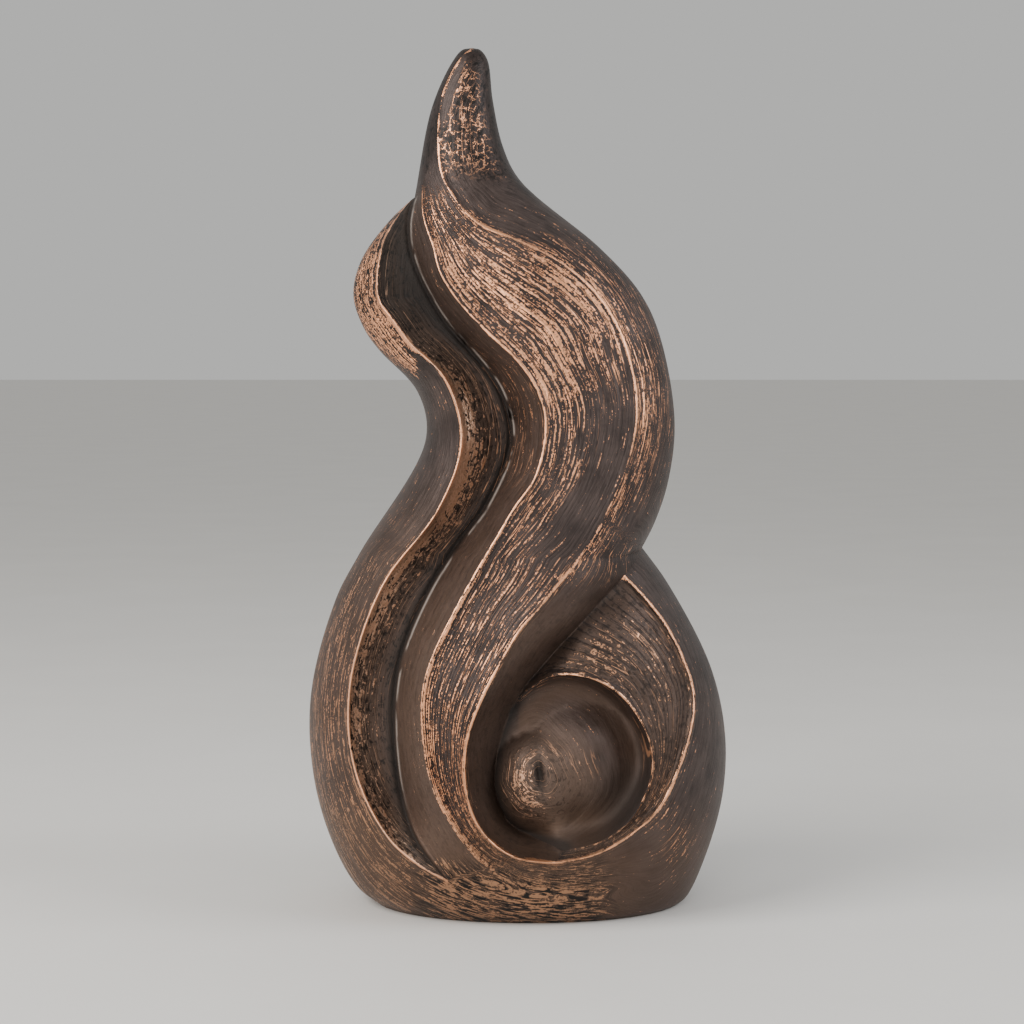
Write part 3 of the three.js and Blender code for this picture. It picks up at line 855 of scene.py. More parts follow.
EDGE_RUBS = (
    EdgeRub(
        "lip",
        strength=((6, 0.9), (14, 1), (66, 1), (76, 0.7), (83, 0.4)),
        left=((6, 0.7), (50, 0.7), (66, 1.2)),
        right=((6, 0.8), (40, 0.9), (60, 1.3)),
    ),
    EdgeRub(
        "ribbon_left",
        strength=((8, 0.3), (24, 0.45), (40, 0.75), (66, 0.8), (80, 0.3)),
        left=((20, 0.4), (60, 0.5)),
        right=((10, 2.4), (30, 2.2), (44, 0.8), (60, 0.8)),
    ),
    EdgeRub(
        "ribbon_right",
        strength=((8, 0.9), (30, 0.9), (36, 0.7), (46, 0.35), (55, 0.4), (78, 0.6), (97, 0.7)),
        left=((8, 0.8), (24, 1.1), (34, 0.8), (60, 0.7), (80, 0.4), (84, 0.2)),
        right=((8, 0.7), (46, 0.7), (60, 0.8), (84, 1.4)),
    ),
    EdgeRub(
        "rim",
        strength=((8, 0.9), (39, 1), (40, 0.9)),
        left=((8, 0.9), (25, 0.8), (36, 0.9)),
        right=((8, 0.6), (40, 0.6)),
    ),
    EdgeRub(
        "inner_step",
        strength=((9, 0.3), (15, 0.5), (27, 0.55), (29, 0.65)),
        left=((10, 0.5), (28, 0.5)),
        right=((10, 0.9), (28, 0.9)),
    ),
)


@dataclass(frozen=True)
class Hill:
    """A round place with a higher amount. Its middle and width are in percent of the urn's height."""

    across: float
    up: float
    width: float
    amount: float


@dataclass(frozen=True)
class Wear:
    """Amounts of the finish, which run from 0 to 1, and where they change.

    Heights, places across and spans of them are in percent of the urn's height. Distances from a line or a
    side are in millimetres: those with reach, width, fade or from in the name, and the first three spans.
    The waves of the rings are how many there are in a turn, where they start, and their size.
    """

    face_span: float = 46
    shelf_span: float = 30
    bowl_span: float = 16
    ring_waves: tuple[tuple[float, float, float], ...] = ((2, 0.6, 0.1), (3, 0, 0.05), (7, 0, 0.03))
    turn_across: Span = (9, 17)
    turn_up: Span = (34, 42)
    waist: Span = (39, 47)
    side_reach: float = 16
    mark_reach: float = 9
    behind_reach: float = 5
    edge_share: float = 0.75

    back_rub: float = 0.16
    back_fold_from: Span = (2, 30)
    channel_rub: Stops = ((8, 0.46), (30, 0.6), (50, 0.95), (60, 0.78), (70, 0.3), (80, 0.16))
    channel_least: float = 0.25
    channel_reach: float = 8
    bank_rub: float = 0.06
    bank_high: Hill = Hill(0, 58, 12, 0.16)
    bank_low: Hill = Hill(0, 24, 13, 0.05)
    wall_rub: float = 0.07
    wall_edge: float = 0.2
    wall_edge_reach: float = 3
    wall_top: float = 0.2
    wall_top_up: Span = (36, 42)
    face_rub: Stops = (
        (8, 0.32), (20, 0.3), (34, 0.26), (46, 0.28), (56, 0.38), (62, 0.46), (76, 0.47), (81, 0.36),
        (86, 0.03),
    )
    shade: float = 0.26
    shade_share: Span = (0.3, 0.7)
    shade_starts: Span = (38, 46)
    shade_ends: Span = (60, 70)
    speckle_rub: float = 0.12
    speckle_reach: float = 5
    speckle_ends: Span = (36, 48)
    bowl_rub: float = 0.05
    ball_rub: float = 0.1
    ball_edge: float = 1.4
    ball_left: float = 0.36
    ball_left_across: Span = (-4.5, 0)
    bowl_flecks: tuple[Hill, ...] = (Hill(8, 18.5, 2.2, 0.16), Hill(4, 20, 2.5, 0.14))
    bowl_top: float = 0.26
    bowl_top_up: Span = (12, 20)
    bowl_top_reach: float = 5
    shelf_rub: float = 0.05
    shelf_lit: float = 0.12
    shelf_lit_from: Span = (3, 20)
    shelf_lit_up: Span = (14, 22)
    shelf_strokes: Hill = Hill(8, 31, 6, 0.14)
    shelf_strokes_from: Span = (1, 8)
    shelf_dots: float = 0.2
    shelf_dots_end: Span = (15, 20)

    flank_rub: Stops = ((5, 0.36), (14, 0.29), (30, 0.24), (50, 0.15), (58, 0.3), (66, 0.52), (80, 0.42))
    flank_across: float = -12
    lobe_across: float = -11.5
    band_width: Stops = ((58, 3), (63, 11), (68, 15), (74, 40))
    band_fade: float = 4
    band_starts: Span = (57, 60)
    band_shade: float = 0.45
    beside_rub: Stops = (
        (42, 0.312), (50, 0.416), (60, 0.572), (72, 0.494), (80, 0.26), (84, 0.182), (97, 0.13),
    )
    beside_reach: float = 16
    right_rub: float = 0.05
    rim_rub: float = 0.16
    rim_reach: float = 5
    patch_rub: float = 0.22
    patch_place: tuple[float, float] = (18.5, 9)
    patch_size: tuple[float, float] = (2.5, 4)
    bottom_rub: float = 0.42
    bottom_up: Span = (5, 12)
    bottom_left: Span = (-16, -8)
    bottom_right: Span = (7, 14)
    bottom_bank: Span = (6.5, 10.5)
    tip_rub: float = 0.22
    tip_starts: Span = (82, 87)
    tip_margin: Span = (0.8, 2.6)
    tip_ends: Span = (97, 98.5)
    tip_left: float = 0.03
    crack_starts: Span = (84, 88)
    crack_ends: Span = (96.5, 98.5)

    sand_reach: float = 12
    sand_bank: Hill = Hill(0, 24, 16, 0.5)
    sand_bank_up: Span = (6, 12)
    boss_reach: float = 25
    # The next two paint light onto the boss, lightening its patina where it lies in shade.
    boss_painted_light: float = 0.6
    boss_painted_light_edge: float = 1.5
    boss_pits: float = 0.6
    boss_pits_edge: float = 1.3
    boss_pits_reach: float = 24
    band_pits: float = 0.8
    band_pits_up: Span = (60, 66)
    tip_pits: float = 0.95
    tip_pits_up: Span = (82, 86)
    speckle_pits: float = 0.7
    face_pits: Hill = Hill(0, 66, 12, 0.2)
    face_combed: Stops = ((6, 1), (36, 1), (46, 0.75), (60, 0.55), (72, 0.45), (84, 0.2), (97, 0.1))
    outer_combed: Stops = ((0, 0.3), (30, 0.35), (50, 0.3), (60, 0.6), (70, 0.3), (97, 0.1))
    right_combed: float = 0.08
    bank_combed_up: Span = (10, 40)
    bead_share: float = 0.55
    bead_starts: Span = (12, 18)
    bead_dims: Span = (60, 75)
    warm_foot: Span = (6, 16)
    warm_right: Span = (8, 16)
    warm_bank_up: Span = (24, 44)
    warm_wall_up: Span = (35, 42)
    warm_flank_up: Span = (40, 56)
    # From here to fold_side_reach: where painted shade lies with the dark patina, in the crease, the
    # channel's top, the folds and the bowl. The deep ring also browns the bowl.
    basin_reach: float = 9
    basin_width: float = 7
    basin_across: Span = (6, 12)
    crease_width: float = 4
    crease_bank_width: float = 1.2
    crease_starts: Span = (5.6, 7.5)
    channel_shadow_up: Span = (60, 72)
    foot_width: float = 4
    foot_wall_width: float = 5
    foot_ends: Span = (24, 30)
    hollow_right_end: Span = (14, 22)
    step_width: float = 5
    run_out: Hill = Hill(5.5, 10.3, 2.6, 0.35)
    fold_width: float = 3
    fold_side_reach: float = 6
    shelf_tool_from: Span = (4, 20)
    foot_plain: Span = (0.1, 1)


class WearMap:
    """Where the patina is rubbed through, and how the tool marks run, for each point of the mesh."""

    def __init__(self, form: FlameForm, wear: Wear, points: np.ndarray, angle: np.ndarray) -> None:
        """Measure the points once.

        Args:
            form: The form.
            wear: Amounts of the finish.
            points: Points in millimetres.
            angle: Angle of each point round its row.
        """
        self.form = form
        self.wear = wear
        self.x, self.z = points[:, 0], points[:, 2]
        self.across, self.at = self.x / form.percent, self.z / form.percent
        self.margin = form.sides(self.z)[1] / form.percent - self.across
        self.places = np.stack([self.x, self.z], axis=1)
        self.back = angle > math.pi
        self.to = {name: distance(self.places, line) for name, line in form.lines.items()}
        self.zone = {name: mask & ~self.back for name, mask in form.zones(self.places).items()}
        self.zone[Zone.BACK] = self.back
        self.table = self._table()
        self.unrolled = self._unroll(angle, self.z)
        start, turn, end = (self._side(halves * math.pi) for halves in (0, 1, 2))
        first, last = np.where(self.back, turn, start), np.where(self.back, end, turn)
        round_it = self.unrolled[:, 0]
        self.inward = np.maximum(np.minimum(round_it - first, last - round_it), 0)
        self.unrolled[:, 0] -= (end - start) * (angle > 1.5 * math.pi)
        self.along = {name: self._unrolled_distance(line) for name, line in form.lines.items()}
        self.fold = distance(self.places, form.back_fold)

    def _table(self, rows: int = 211, turns: int = 361) -> tuple[np.ndarray, np.ndarray, np.ndarray]:
        """Lengths round the plain body from the middle of its front, for a grid of heights and angles.

        Args:
            rows: Count of heights.
            turns: Count of angles.

        Returns:
            Heights, angles and lengths.
        """
        heights = np.linspace(0, self.form.height, rows)
        angles = np.linspace(0, 2 * math.pi, turns)
        t, z = np.tile(angles, rows), np.repeat(heights, turns)
        left, right = self.form.sides(z)
        x = (left + right) / 2 - (right - left) / 2 * np.cos(t)
        y = self.form.half_depths(t, x, z) * np.where(t > math.pi, self.form.carving.back_share, -1)
        x, y = x.reshape(rows, -1), y.reshape(rows, -1)
        steps = np.hypot(np.diff(x, axis=1), np.diff(y, axis=1))
        lengths = np.concatenate([np.zeros((rows, 1)), np.cumsum(steps, axis=1)], axis=1)
        middle = turns // 4
        return heights, angles, lengths - lengths[:, middle:middle + 1]

    def _unroll(self, angle: np.ndarray, z: np.ndarray) -> np.ndarray:
        """Flatten the body round its height.

        Args:
            angle: Angles round the row.
            z: Heights.

        Returns:
            Places on the flattened body, one a row.
        """
        heights, turns, lengths = self.table
        row = np.clip(z / heights[-1] * (len(heights) - 1), 0, len(heights) - 1.001)
        column = np.clip(angle / turns[-1] * (len(turns) - 1), 0, len(turns) - 1.001)
        i, j = row.astype(int), column.astype(int)
        u, v = row - i, column - j
        low = lengths[i, j] * (1 - v) + lengths[i, j + 1] * v
        high = lengths[i + 1, j] * (1 - v) + lengths[i + 1, j + 1] * v
        return np.stack([low * (1 - u) + high * u, z], axis=1)

    def _side(self, angle: float) -> np.ndarray:
        """Length round the body at a fixed angle, for each point's height.

        Args:
            angle: The angle round the row.

        Returns:
            Lengths in millimetres.
        """
        return self._unroll(np.full(len(self.z), angle), self.z)[:, 0]

    def _unrolled_distance(self, line: np.ndarray) -> np.ndarray:
        """Distance over the surface from the points to a line of the front.

        Args:
            line: The line in the front view.

        Returns:
            Distances in millimetres.
        """
        left, right = self.form.sides(line[:, 1])
        cosine = np.clip((left + right - 2 * line[:, 0]) / np.maximum(right - left, 1e-6), -1, 1)
        return distance(self.unrolled, self._unroll(np.arccos(cosine), line[:, 1]))

    def left_of(self, name: str) -> np.ndarray:
        """Whether each point lies left of a line, which is taken to fall all the way.

        Args:
            name: The line.

        Returns:
            One truth value a point.
        """
        line = self.form.lines[name]
        order = np.argsort(line[:, 1], kind="stable")
        return self.x < np.interp(self.z, line[order, 1], line[order, 0])

    def at_height(self, hill: Hill) -> np.ndarray:
        """Amount of a hill that runs right across, for each point."""
        return hill.amount * mound(self.at - hill.up, hill.width)

    def at_place(self, hill: Hill) -> np.ndarray:
        """Amount of a round hill, for each point."""
        return hill.amount * mound(np.hypot(self.across - hill.across, self.at - hill.up), hill.width)

    def from_boss(self) -> np.ndarray:
        """Distance of each point from the middle of the boss, in millimetres."""
        return self.form.away(self.places, self.form.pose.boss)

    def rings(self) -> np.ndarray:
        """Uneven rings round the navel of the boss, which run on over the floor of the bowl.

        Returns:
            One value a point.
        """
        wear, pose = self.wear, self.form.pose
        ball = self.form.away(self.places, pose.navel)
        middle = np.array(pose.navel) * self.form.percent
        turn = np.arctan2(self.z - middle[1], self.x - middle[0])
        ball = ball * (1 + sum(size * np.sin(waves * turn + start) for waves, start, size in wear.ring_waves))
        radius = self.form.carving.boss_radius
        beyond = share(np.maximum(ball - radius, 0), self.to["inner_step"])
        return np.minimum(ball, radius) + wear.bowl_span * beyond

    def flow(self) -> np.ndarray:
        """Coordinate across the tool marks, in millimetres. The marks run where it stays the same.

        Returns:
            One value a point.
        """
        wear, near = self.wear, self.along
        ribbon_flow, foot_flow = (strand(line, self.form.percent)
                                  for line in (self.form.pose.ribbon_flow, self.form.pose.foot_flow))
        outer = np.minimum(near["lip"], self._unrolled_distance(foot_flow))
        edge = np.minimum(near["ribbon_left"], self._unrolled_distance(ribbon_flow[SPAN_STEPS:]))
        loop = np.minimum(near["ribbon_right"], near["rim"])
        left = self.left_of("lip")
        around = self.zone[Zone.OUTER] | self.back
        low = self.z < np.interp(self.x, *foot_flow.T)
        corner = (self.z < np.interp(self.x, *ribbon_flow.T)) & ~low
        shelf = wear.shelf_span * share(near["rim"], near["inner_step"])
        choices = [
            (self.zone[Zone.CHANNEL], near["lip"]),
            (self.zone[Zone.BANK], -near["ribbon_left"]),
            (self.zone[Zone.WALL], wear.face_span + near["ribbon_right"]),
            (self.zone[Zone.SHELF], wear.face_span + shelf),
            (self.zone[Zone.BOWL], self.rings()),
            (around & (left | low), -outer),
            (around & corner, np.minimum(edge, outer)),
        ]
        face = wear.face_span * share(edge, loop)
        flow = np.select([mask for mask, _ in choices], [value for _, value in choices], face)
        right = np.maximum(between(self.across, wear.turn_across), between(self.at, wear.turn_up))
        return flow + (wear.face_span - loop - flow) * right * (around & ~left)

    def edge(self) -> np.ndarray:
        """How strongly each point is rubbed as part of a ridge.

        Returns:
            Values from 0 to 1.
        """
        best = np.zeros(len(self.x))
        inner = {"rim": self.zone[Zone.SHELF], "inner_step": self.zone[Zone.BOWL]}
        for rub in EDGE_RUBS:
            left = inner.get(rub.line, self.left_of(rub.line))
            width = self.wear.edge_share * np.where(left, eased(rub.left, self.at), eased(rub.right, self.at))
            best = np.maximum(best, eased(rub.strength, self.at) * mound(self.to[rub.line], width))
        best[self.back] = 0
        return best

    def pick(self, amounts: dict[Zone, np.ndarray | float], other: float = 0.0) -> np.ndarray:
        """Take each point's value from its own zone, and run the sides over into the back.

        Args:
            amounts: A value for each zone, plain or one for each point.
            other: Value in zones that aren't named.

        Returns:
            One value a point.
        """
        back, outer = (amounts.get(name, other) for name in (Zone.BACK, Zone.OUTER))
        around = back + (outer - back) * mound(self.inward, self.wear.side_reach)
        front = np.select([self.zone[name] for name in amounts], list(amounts.values()), other)
        return np.where(self.back, around, front)

    def rub(self) -> np.ndarray:
        """Share of the surface on which the patina is brushed through to bright copper.

        Returns:
            Values from 0 to 1.
        """
        wear = self.wear
        bank = self.at_height(wear.bank_high) + self.at_height(wear.bank_low)
        wall = wear.wall_edge * np.exp(-self.to["ribbon_right"] / wear.wall_edge_reach)
        amounts = {
            Zone.BACK: wear.back_rub * between(self.fold, wear.back_fold_from),
            Zone.CHANNEL: self._rub_channel(),
            Zone.BANK: wear.bank_rub + bank + wear.bottom_rub * self.bottom(),
            Zone.FACE: self._rub_face(),
            Zone.WALL: wear.wall_rub + wall + wear.wall_top * between(self.at, wear.wall_top_up),
            Zone.BOWL: self._rub_bowl(),
            Zone.SHELF: self._rub_shelf(),
            Zone.OUTER: self._rub_outer(),
        }
        return np.clip(self.pick(amounts), 0, 1)

    def _rub_channel(self) -> np.ndarray:
        """Rub of the channel, most of it in a band beside the lip.

        Returns:
            Values from 0 to 1.
        """
        wear = self.wear
        band = wear.channel_least + (1 - wear.channel_least) * mound(self.to["lip"], wear.channel_reach)
        return eased(wear.channel_rub, self.at) * band

    def _rub_face(self) -> np.ndarray:
        """Rub of the ribbon's face: strong above, weak at mid height towards the right.

        Returns:
            Values from 0 to 1.
        """
        wear = self.wear
        across = share(self.to["ribbon_left"], self.to["ribbon_right"])
        middle = between(self.at, wear.shade_starts) * (1 - between(self.at, wear.shade_ends))
        shade = wear.shade * between(across, wear.shade_share) * middle
        return eased(wear.face_rub, self.at) - shade + wear.speckle_rub * self.speckled()

    def _rub_bowl(self) -> np.ndarray:
        """Rub of the bowl: the left of the boss, flecks on the swelling, and its upper edge.

        Returns:
            Values from 0 to 1.
        """
        wear = self.wear
        ball = ease(wear.ball_edge * (1 - self.from_boss() / self.form.carving.boss_radius))
        left = wear.ball_left * ball * between(-self.across, wear.ball_left_across)
        flecks = sum(self.at_place(hill) for hill in wear.bowl_flecks)
        top = between(self.at, wear.bowl_top_up) * np.exp(-self.to["inner_step"] / wear.bowl_top_reach)
        return wear.bowl_rub + wear.ball_rub * ball + left + flecks + wear.bowl_top * top

    def _rub_shelf(self) -> np.ndarray:
        """Rub of the shelf: strokes above the bowl, fine dots lower down, none beside the wall.

        Returns:
            Values from 0 to 1.
        """
        wear, foot = self.wear, self.to["wall_foot"]
        lit = wear.shelf_lit * between(foot, wear.shelf_lit_from) * between(self.at, wear.shelf_lit_up)
        strokes = self.at_place(wear.shelf_strokes) * between(foot, wear.shelf_strokes_from)
        dots = wear.shelf_dots * (1 - between(self.at, wear.shelf_dots_end))
        return wear.shelf_rub + lit + strokes + dots

    def _rub_outer(self) -> np.ndarray:
        """Rub of the body round the carving: the left flank, the lobe's band, the tip and the bottom.

        Returns:
            Values from 0 to 1.
        """
        wear, at, across = self.wear, self.at, self.across
        band = eased(wear.band_width, at)
        shade = between(at, wear.band_starts) * between(self.to["lip"], (band, band + wear.band_fade))
        left = eased(wear.flank_rub, at) - wear.band_shade * shade
        beside = eased(wear.beside_rub, at) * np.exp(-self.to["ribbon_right"] / wear.beside_reach)
        (patch_x, patch_z), (wide, tall) = wear.patch_place, wear.patch_size
        patch = wear.patch_rub * mound(across - patch_x, wide) * mound(at - patch_z, tall)
        right = wear.right_rub + wear.rim_rub * np.exp(-self.to["rim"] / wear.rim_reach) + patch
        low = np.maximum(np.where(across < wear.flank_across, left, right), wear.bottom_rub * self.bottom())
        tip = between(at, wear.tip_starts) * between(self.margin, wear.tip_margin)
        tip = wear.tip_rub * tip * (1 - between(at, wear.tip_ends))
        high = np.where(self.left_of("ribbon_right"), wear.tip_left, np.maximum(beside, tip))
        beside = right + (beside - right) * between(at, wear.waist)
        middle = np.where(across < wear.lobe_across, left, beside)
        return np.where(at < wear.waist[0], low, np.where(at > wear.tip_starts[0], high, middle))

    def speckled(self) -> np.ndarray:
        """The speckled strip beside the ribbon's left edge, in its lower half."""
        wear = self.wear
        return mound(self.to["ribbon_left"], wear.speckle_reach) * (1 - between(self.at, wear.speckle_ends))

    def bottom(self) -> np.ndarray:
        """The brown stretch below the ribbon's curl, with its short dark dashes.

        Returns:
            Values from 0 to 1.
        """
        wear = self.wear
        low = (1 - between(self.at, wear.bottom_up)) * between(self.across, wear.bottom_left)
        low = low * (1 - between(self.across, wear.bottom_right))
        bank = 1 - between(self.at, wear.bottom_bank)
        return low * (self.zone[Zone.OUTER] + bank * self.zone[Zone.BANK])

    def beige_and_painted_light(self) -> np.ndarray:
        """Where the copper is pale and the patina lighter, as inside the channel. On the boss this lighter
        patina is painted light that lifts its shade.

        Returns:
            Values from 0 to 1.
        """
        wear = self.wear
        amounts = {
            Zone.CHANNEL: mound(self.to["lip"], wear.sand_reach),
            Zone.BANK: self.at_height(wear.sand_bank) * between(self.at, wear.sand_bank_up),
            # On the boss, the lighter patina is painted light that lifts its shade.
            Zone.BOWL: wear.boss_painted_light * ease(wear.boss_painted_light_edge - self.from_boss() / wear.boss_reach),
            Zone.SHELF: 0.12,
        }
        return self.pick(amounts)

    def pitted(self) -> np.ndarray:
        """Where the copper is mottled and pitted, and not drawn out in strokes.

        Returns:
            Values from 0 to 1.
        """
        wear = self.wear
        band = wear.band_pits * between(self.at, wear.band_pits_up) * self.left_of("lip")
        boss = ease(wear.boss_pits_edge - self.from_boss() / wear.boss_pits_reach)
        amounts = {
            Zone.CHANNEL: 1 - 0.3 * share(self.to["lip"], self.to["crease"]),
            Zone.BANK: 0.2,
            Zone.FACE: 0.12 + wear.speckle_pits * self.speckled() + self.at_height(wear.face_pits),
            Zone.BOWL: wear.boss_pits * boss,
            Zone.SHELF: 0.6,
            Zone.OUTER: np.maximum(band, wear.tip_pits * between(self.at, wear.tip_pits_up)),
        }
        return np.clip(self.pick(amounts, other=0.3), 0, 1)

    def crackled(self) -> np.ndarray:
        """Where thin bright lines run between patches of dark patina, as on the tip.

        Returns:
            Values from 0 to 1.
        """
        wear = self.wear
        tip = between(self.at, wear.crack_starts) * (1 - between(self.at, wear.crack_ends))
        tip = tip * between(self.margin, wear.tip_margin)
        return tip * self.zone[Zone.OUTER] * ~self.left_of("ribbon_right")

    def combed(self) -> np.ndarray:
        """How clearly the long comb lines are cut.

        Returns:
            Values from 0 to 1.
        """
        wear = self.wear
        outer = eased(wear.outer_combed, self.at)
        right = wear.right_combed + (outer - wear.right_combed) * between(self.at, wear.waist)
        amounts = {
            Zone.BACK: 0.15,
            Zone.CHANNEL: 0.25,
            Zone.BANK: 0.1 + 0.3 * between(self.at, wear.bank_combed_up),
            Zone.FACE: eased(wear.face_combed, self.at),
            Zone.WALL: 0.12,
            Zone.BOWL: 0.12,
            Zone.SHELF: 0.95,
            Zone.OUTER: np.where(self.x > 0, right, outer),
        }
        return self.pick(amounts)

    def bead(self) -> np.ndarray:
        """The thin bead beside the channel's crease, painted pale as a highlight along it.

        Returns:
            Values from 0 to 1.
        """
        size, wear = self.form.carving, self.wear
        line = mound(self.to["crease"] - size.bead_place, size.bead_width * wear.bead_share)
        fade = between(self.at, wear.bead_starts) * (1 - 0.4 * between(self.at, wear.bead_dims))
        return line * self.zone[Zone.BANK] * fade

    def basin(self) -> np.ndarray:
        """The deep ring just inside the bowl's step."""
        return mound(self.to["inner_step"] - self.wear.basin_reach, self.wear.basin_width)

    def warmth(self) -> np.ndarray:
        """How brown and dull the copper and the patina are, as they are low down and in the hollows.

        Returns:
            Values from 0 to 1.
        """
        wear = self.wear
        low = (1 - between(self.at, wear.warm_foot)) * (1 - 0.45 * between(self.across, wear.warm_right))
        amounts = {
            Zone.CHANNEL: 0.5,
            Zone.BANK: 0.15 + 0.3 * between(self.at, wear.warm_bank_up),
            Zone.WALL: 0.65 * (1 - between(self.at, wear.warm_wall_up)),
            Zone.BOWL: 0.2 + 0.5 * self.basin() * (self.x > 0),
            Zone.SHELF: 0.7,
            Zone.OUTER: 0.5 * self.left_of("lip") * (1 - between(self.at, wear.warm_flank_up)),
        }
        return np.clip(low + self.pick(amounts), 0, 1)

    def hollow(self) -> np.ndarray:
        """How much painted shade, laid with the dark patina that gathers there, each point gets in folds,
        creases and pits.

        Returns:
            Values from 0 to 1.
        """
        wear, at, across, foot = self.wear, self.at, self.across, self.to["wall_foot"]
        upper = 1 - 0.6 * between(at, wear.foot_ends)
        floor = upper * mound(foot, wear.foot_width)
        # Painted shadow on the bowl's lower right, where the surface turns down.
        right = between(across, wear.basin_across) * (1 - between(at, wear.hollow_right_end))
        basin = 0.15 * self.basin() * between(across, wear.basin_across)
        run_out = self.at_place(wear.run_out)
        crease = mound(self.to["crease"], wear.crease_width) * between(at, wear.crease_starts)
        step = 0.3 * mound(self.to["inner_step"], wear.step_width)
        behind = mound(self.fold, wear.fold_width) * (1 - mound(self.inward, wear.fold_side_reach))
        # Painted shade, with dark patina: in the crease, at the wall's foot, in the bowl's pits, ring and
        # lower right, and along the back fold.
        depths = {
            # The top of the channel is painted dark as its deep shadow.
            Zone.CHANNEL: crease + 0.9 * between(at, wear.channel_shadow_up),
            Zone.BANK: mound(self.to["crease"], wear.crease_bank_width),
            Zone.SHELF: floor,
            Zone.BOWL: floor + self.form.pits(self.places) / 2.5 + 0.5 * right + step + basin + run_out,
            Zone.WALL: 0.3 * upper * mound(foot, wear.foot_wall_width) + run_out,
            Zone.BACK: 0.5 * behind,
        }
        return np.clip(sum(depth * self.zone[name] for name, depth in depths.items()), 0, 1)

    def tooled(self) -> np.ndarray:
        """How deep the tool marks are, none in the smooth places.

        Returns:
            Values from 0 to 1.
        """
        amounts = {
            Zone.CHANNEL: 0.5,
            Zone.BANK: 0.12 + 0.7 * self.bottom(),
            Zone.FACE: 1.0,
            Zone.WALL: 0.1,
            Zone.BOWL: 0.6,
            Zone.SHELF: 0.1 + 0.8 * between(self.to["wall_foot"], self.wear.shelf_tool_from),
            Zone.OUTER: np.clip(2.2 * self._rub_outer(), 0.1, 1),
        }
        return self.pick(amounts) * between(self.at, self.wear.foot_plain)

    def attributes(self) -> dict[str, np.ndarray]:
        """All the values that the materials and the tool marks read.

        Returns:
            One list of values for each name.
        """
        side = (1 - mound(self.inward, self.wear.mark_reach)) * ~self.back
        half = 0.5 * mound(self.inward, self.wear.behind_reach)
        return {
            "flow": self.flow(),
            "edge": self.edge(),
            "behind": np.where(self.back, 1 - half, half),
            "rub": self.rub(),
            "pitted": self.pitted(),
            "combed": self.combed() * side,
            "bead": self.bead(),
            "bottom": self.bottom(),
            "crackled": self.crackled(),
            "beige_and_painted_light": self.beige_and_painted_light(),
            "warm": self.warmth(),
            "hollow": self.hollow(),
            "tooled": self.tooled() * side,
        }


class NodeWriter:
    """Short ways to add nodes to a tree."""

    def __init__(self, tree: bpy.types.NodeTree) -> None:
        """Keep the tree.

        Args:
            tree: A material's tree, a group or a tree that changes a mesh.
        """
        self.tree = tree

    def add(self, kind: str, inputs: dict | None = None, **settings: object) -> bpy.types.Node:
        """Add a node.

        Args:
            kind: Its type.
            inputs: Values or sockets for its inputs, by name or number.
            **settings: Its own settings.

        Returns:
            The node.
        """
        node = self.tree.nodes.new(kind)
        for name, value in settings.items():
            setattr(node, name, value)
        for name, value in (inputs or {}).items():
            if isinstance(value, bpy.types.NodeSocket):
                self.tree.links.new(value, node.inputs[name])
            else:
                node.inputs[name].default_value = value
        return node

    def maths(self, kind: str, *values: object, clamp: bool = False) -> bpy.types.NodeSocket:
        """Combine numbers.

        Args:
            kind: Operation.
            *values: Numbers or sockets.
            clamp: Whether the result is held between 0 and 1.

        Returns:
            The socket of the result.
        """
        return self.add("ShaderNodeMath", dict(enumerate(values)), operation=kind, use_clamp=clamp).outputs[0]

    def blend(self, factor: object, a: bpy.types.NodeSocket, b: bpy.types.NodeSocket) -> bpy.types.NodeSocket:
        """Mix two numbers, where the factor is the share of the second."""
        return self.maths("MULTIPLY_ADD", self.maths("SUBTRACT", b, a), factor, a)

    def attribute(self, name: str) -> bpy.types.NodeSocket:
        """Read a value of the mesh in a material."""
        return self.add("ShaderNodeAttribute", attribute_name=name).outputs["Fac"]

    def mesh_value(self, name: str) -> bpy.types.NodeSocket:
        """Read a value of the mesh in a tree that changes the mesh."""
        node = self.add("GeometryNodeInputNamedAttribute", {"Name": name}, data_type="FLOAT")
        return node.outputs["Attribute"]

    def noise(self, vector: bpy.types.NodeSocket, scale: float, detail: object, rough: float = 0.5,
              lean: float = 0.0) -> bpy.types.NodeSocket:
        """Add a noise.

        Args:
            vector: Where it is read.
            scale: Its scale.
            detail: Its octaves, a number or a socket.
            rough: How strong the fine octaves are.
            lean: How far it is bent by itself.

        Returns:
            The socket that gives it, from 0 to 1.
        """
        inputs = {"Vector": vector, "Scale": scale, "Detail": detail, "Roughness": rough, "Distortion": lean}
        return self.add("ShaderNodeTexNoise", inputs).outputs[0]

    def ramp(self, value: bpy.types.NodeSocket, low: object, high: object) -> bpy.types.NodeSocket:
        """Rise from 0 to 1 between two values, smoothly.

        Args:
            value: The value that is read.
            low: Value that gives 0.
            high: Value that gives 1.

        Returns:
            The socket of the result.
        """
        inputs = {"Value": value, "From Min": low, "From Max": high}
        return self.add("ShaderNodeMapRange", inputs, interpolation_type="SMOOTHSTEP").outputs[0]

    def mix(self, factor: object, a: object, b: object) -> bpy.types.NodeSocket:
        """Mix two colours.

        Args:
            factor: Share of the second colour.
            a: First colour, a socket or three numbers.
            b: Second colour, the same.

        Returns:
            The socket of the colour.
        """
        node = self.add("ShaderNodeMix", data_type="RGBA")
        for number, value in ((0, factor), (6, a), (7, b)):
            if isinstance(value, bpy.types.NodeSocket):
                self.tree.links.new(value, node.inputs[number])
            elif number:
                node.inputs[number].default_value = (*value, 1.0)
            else:
                node.inputs[number].default_value = value
        return node.outputs[2]


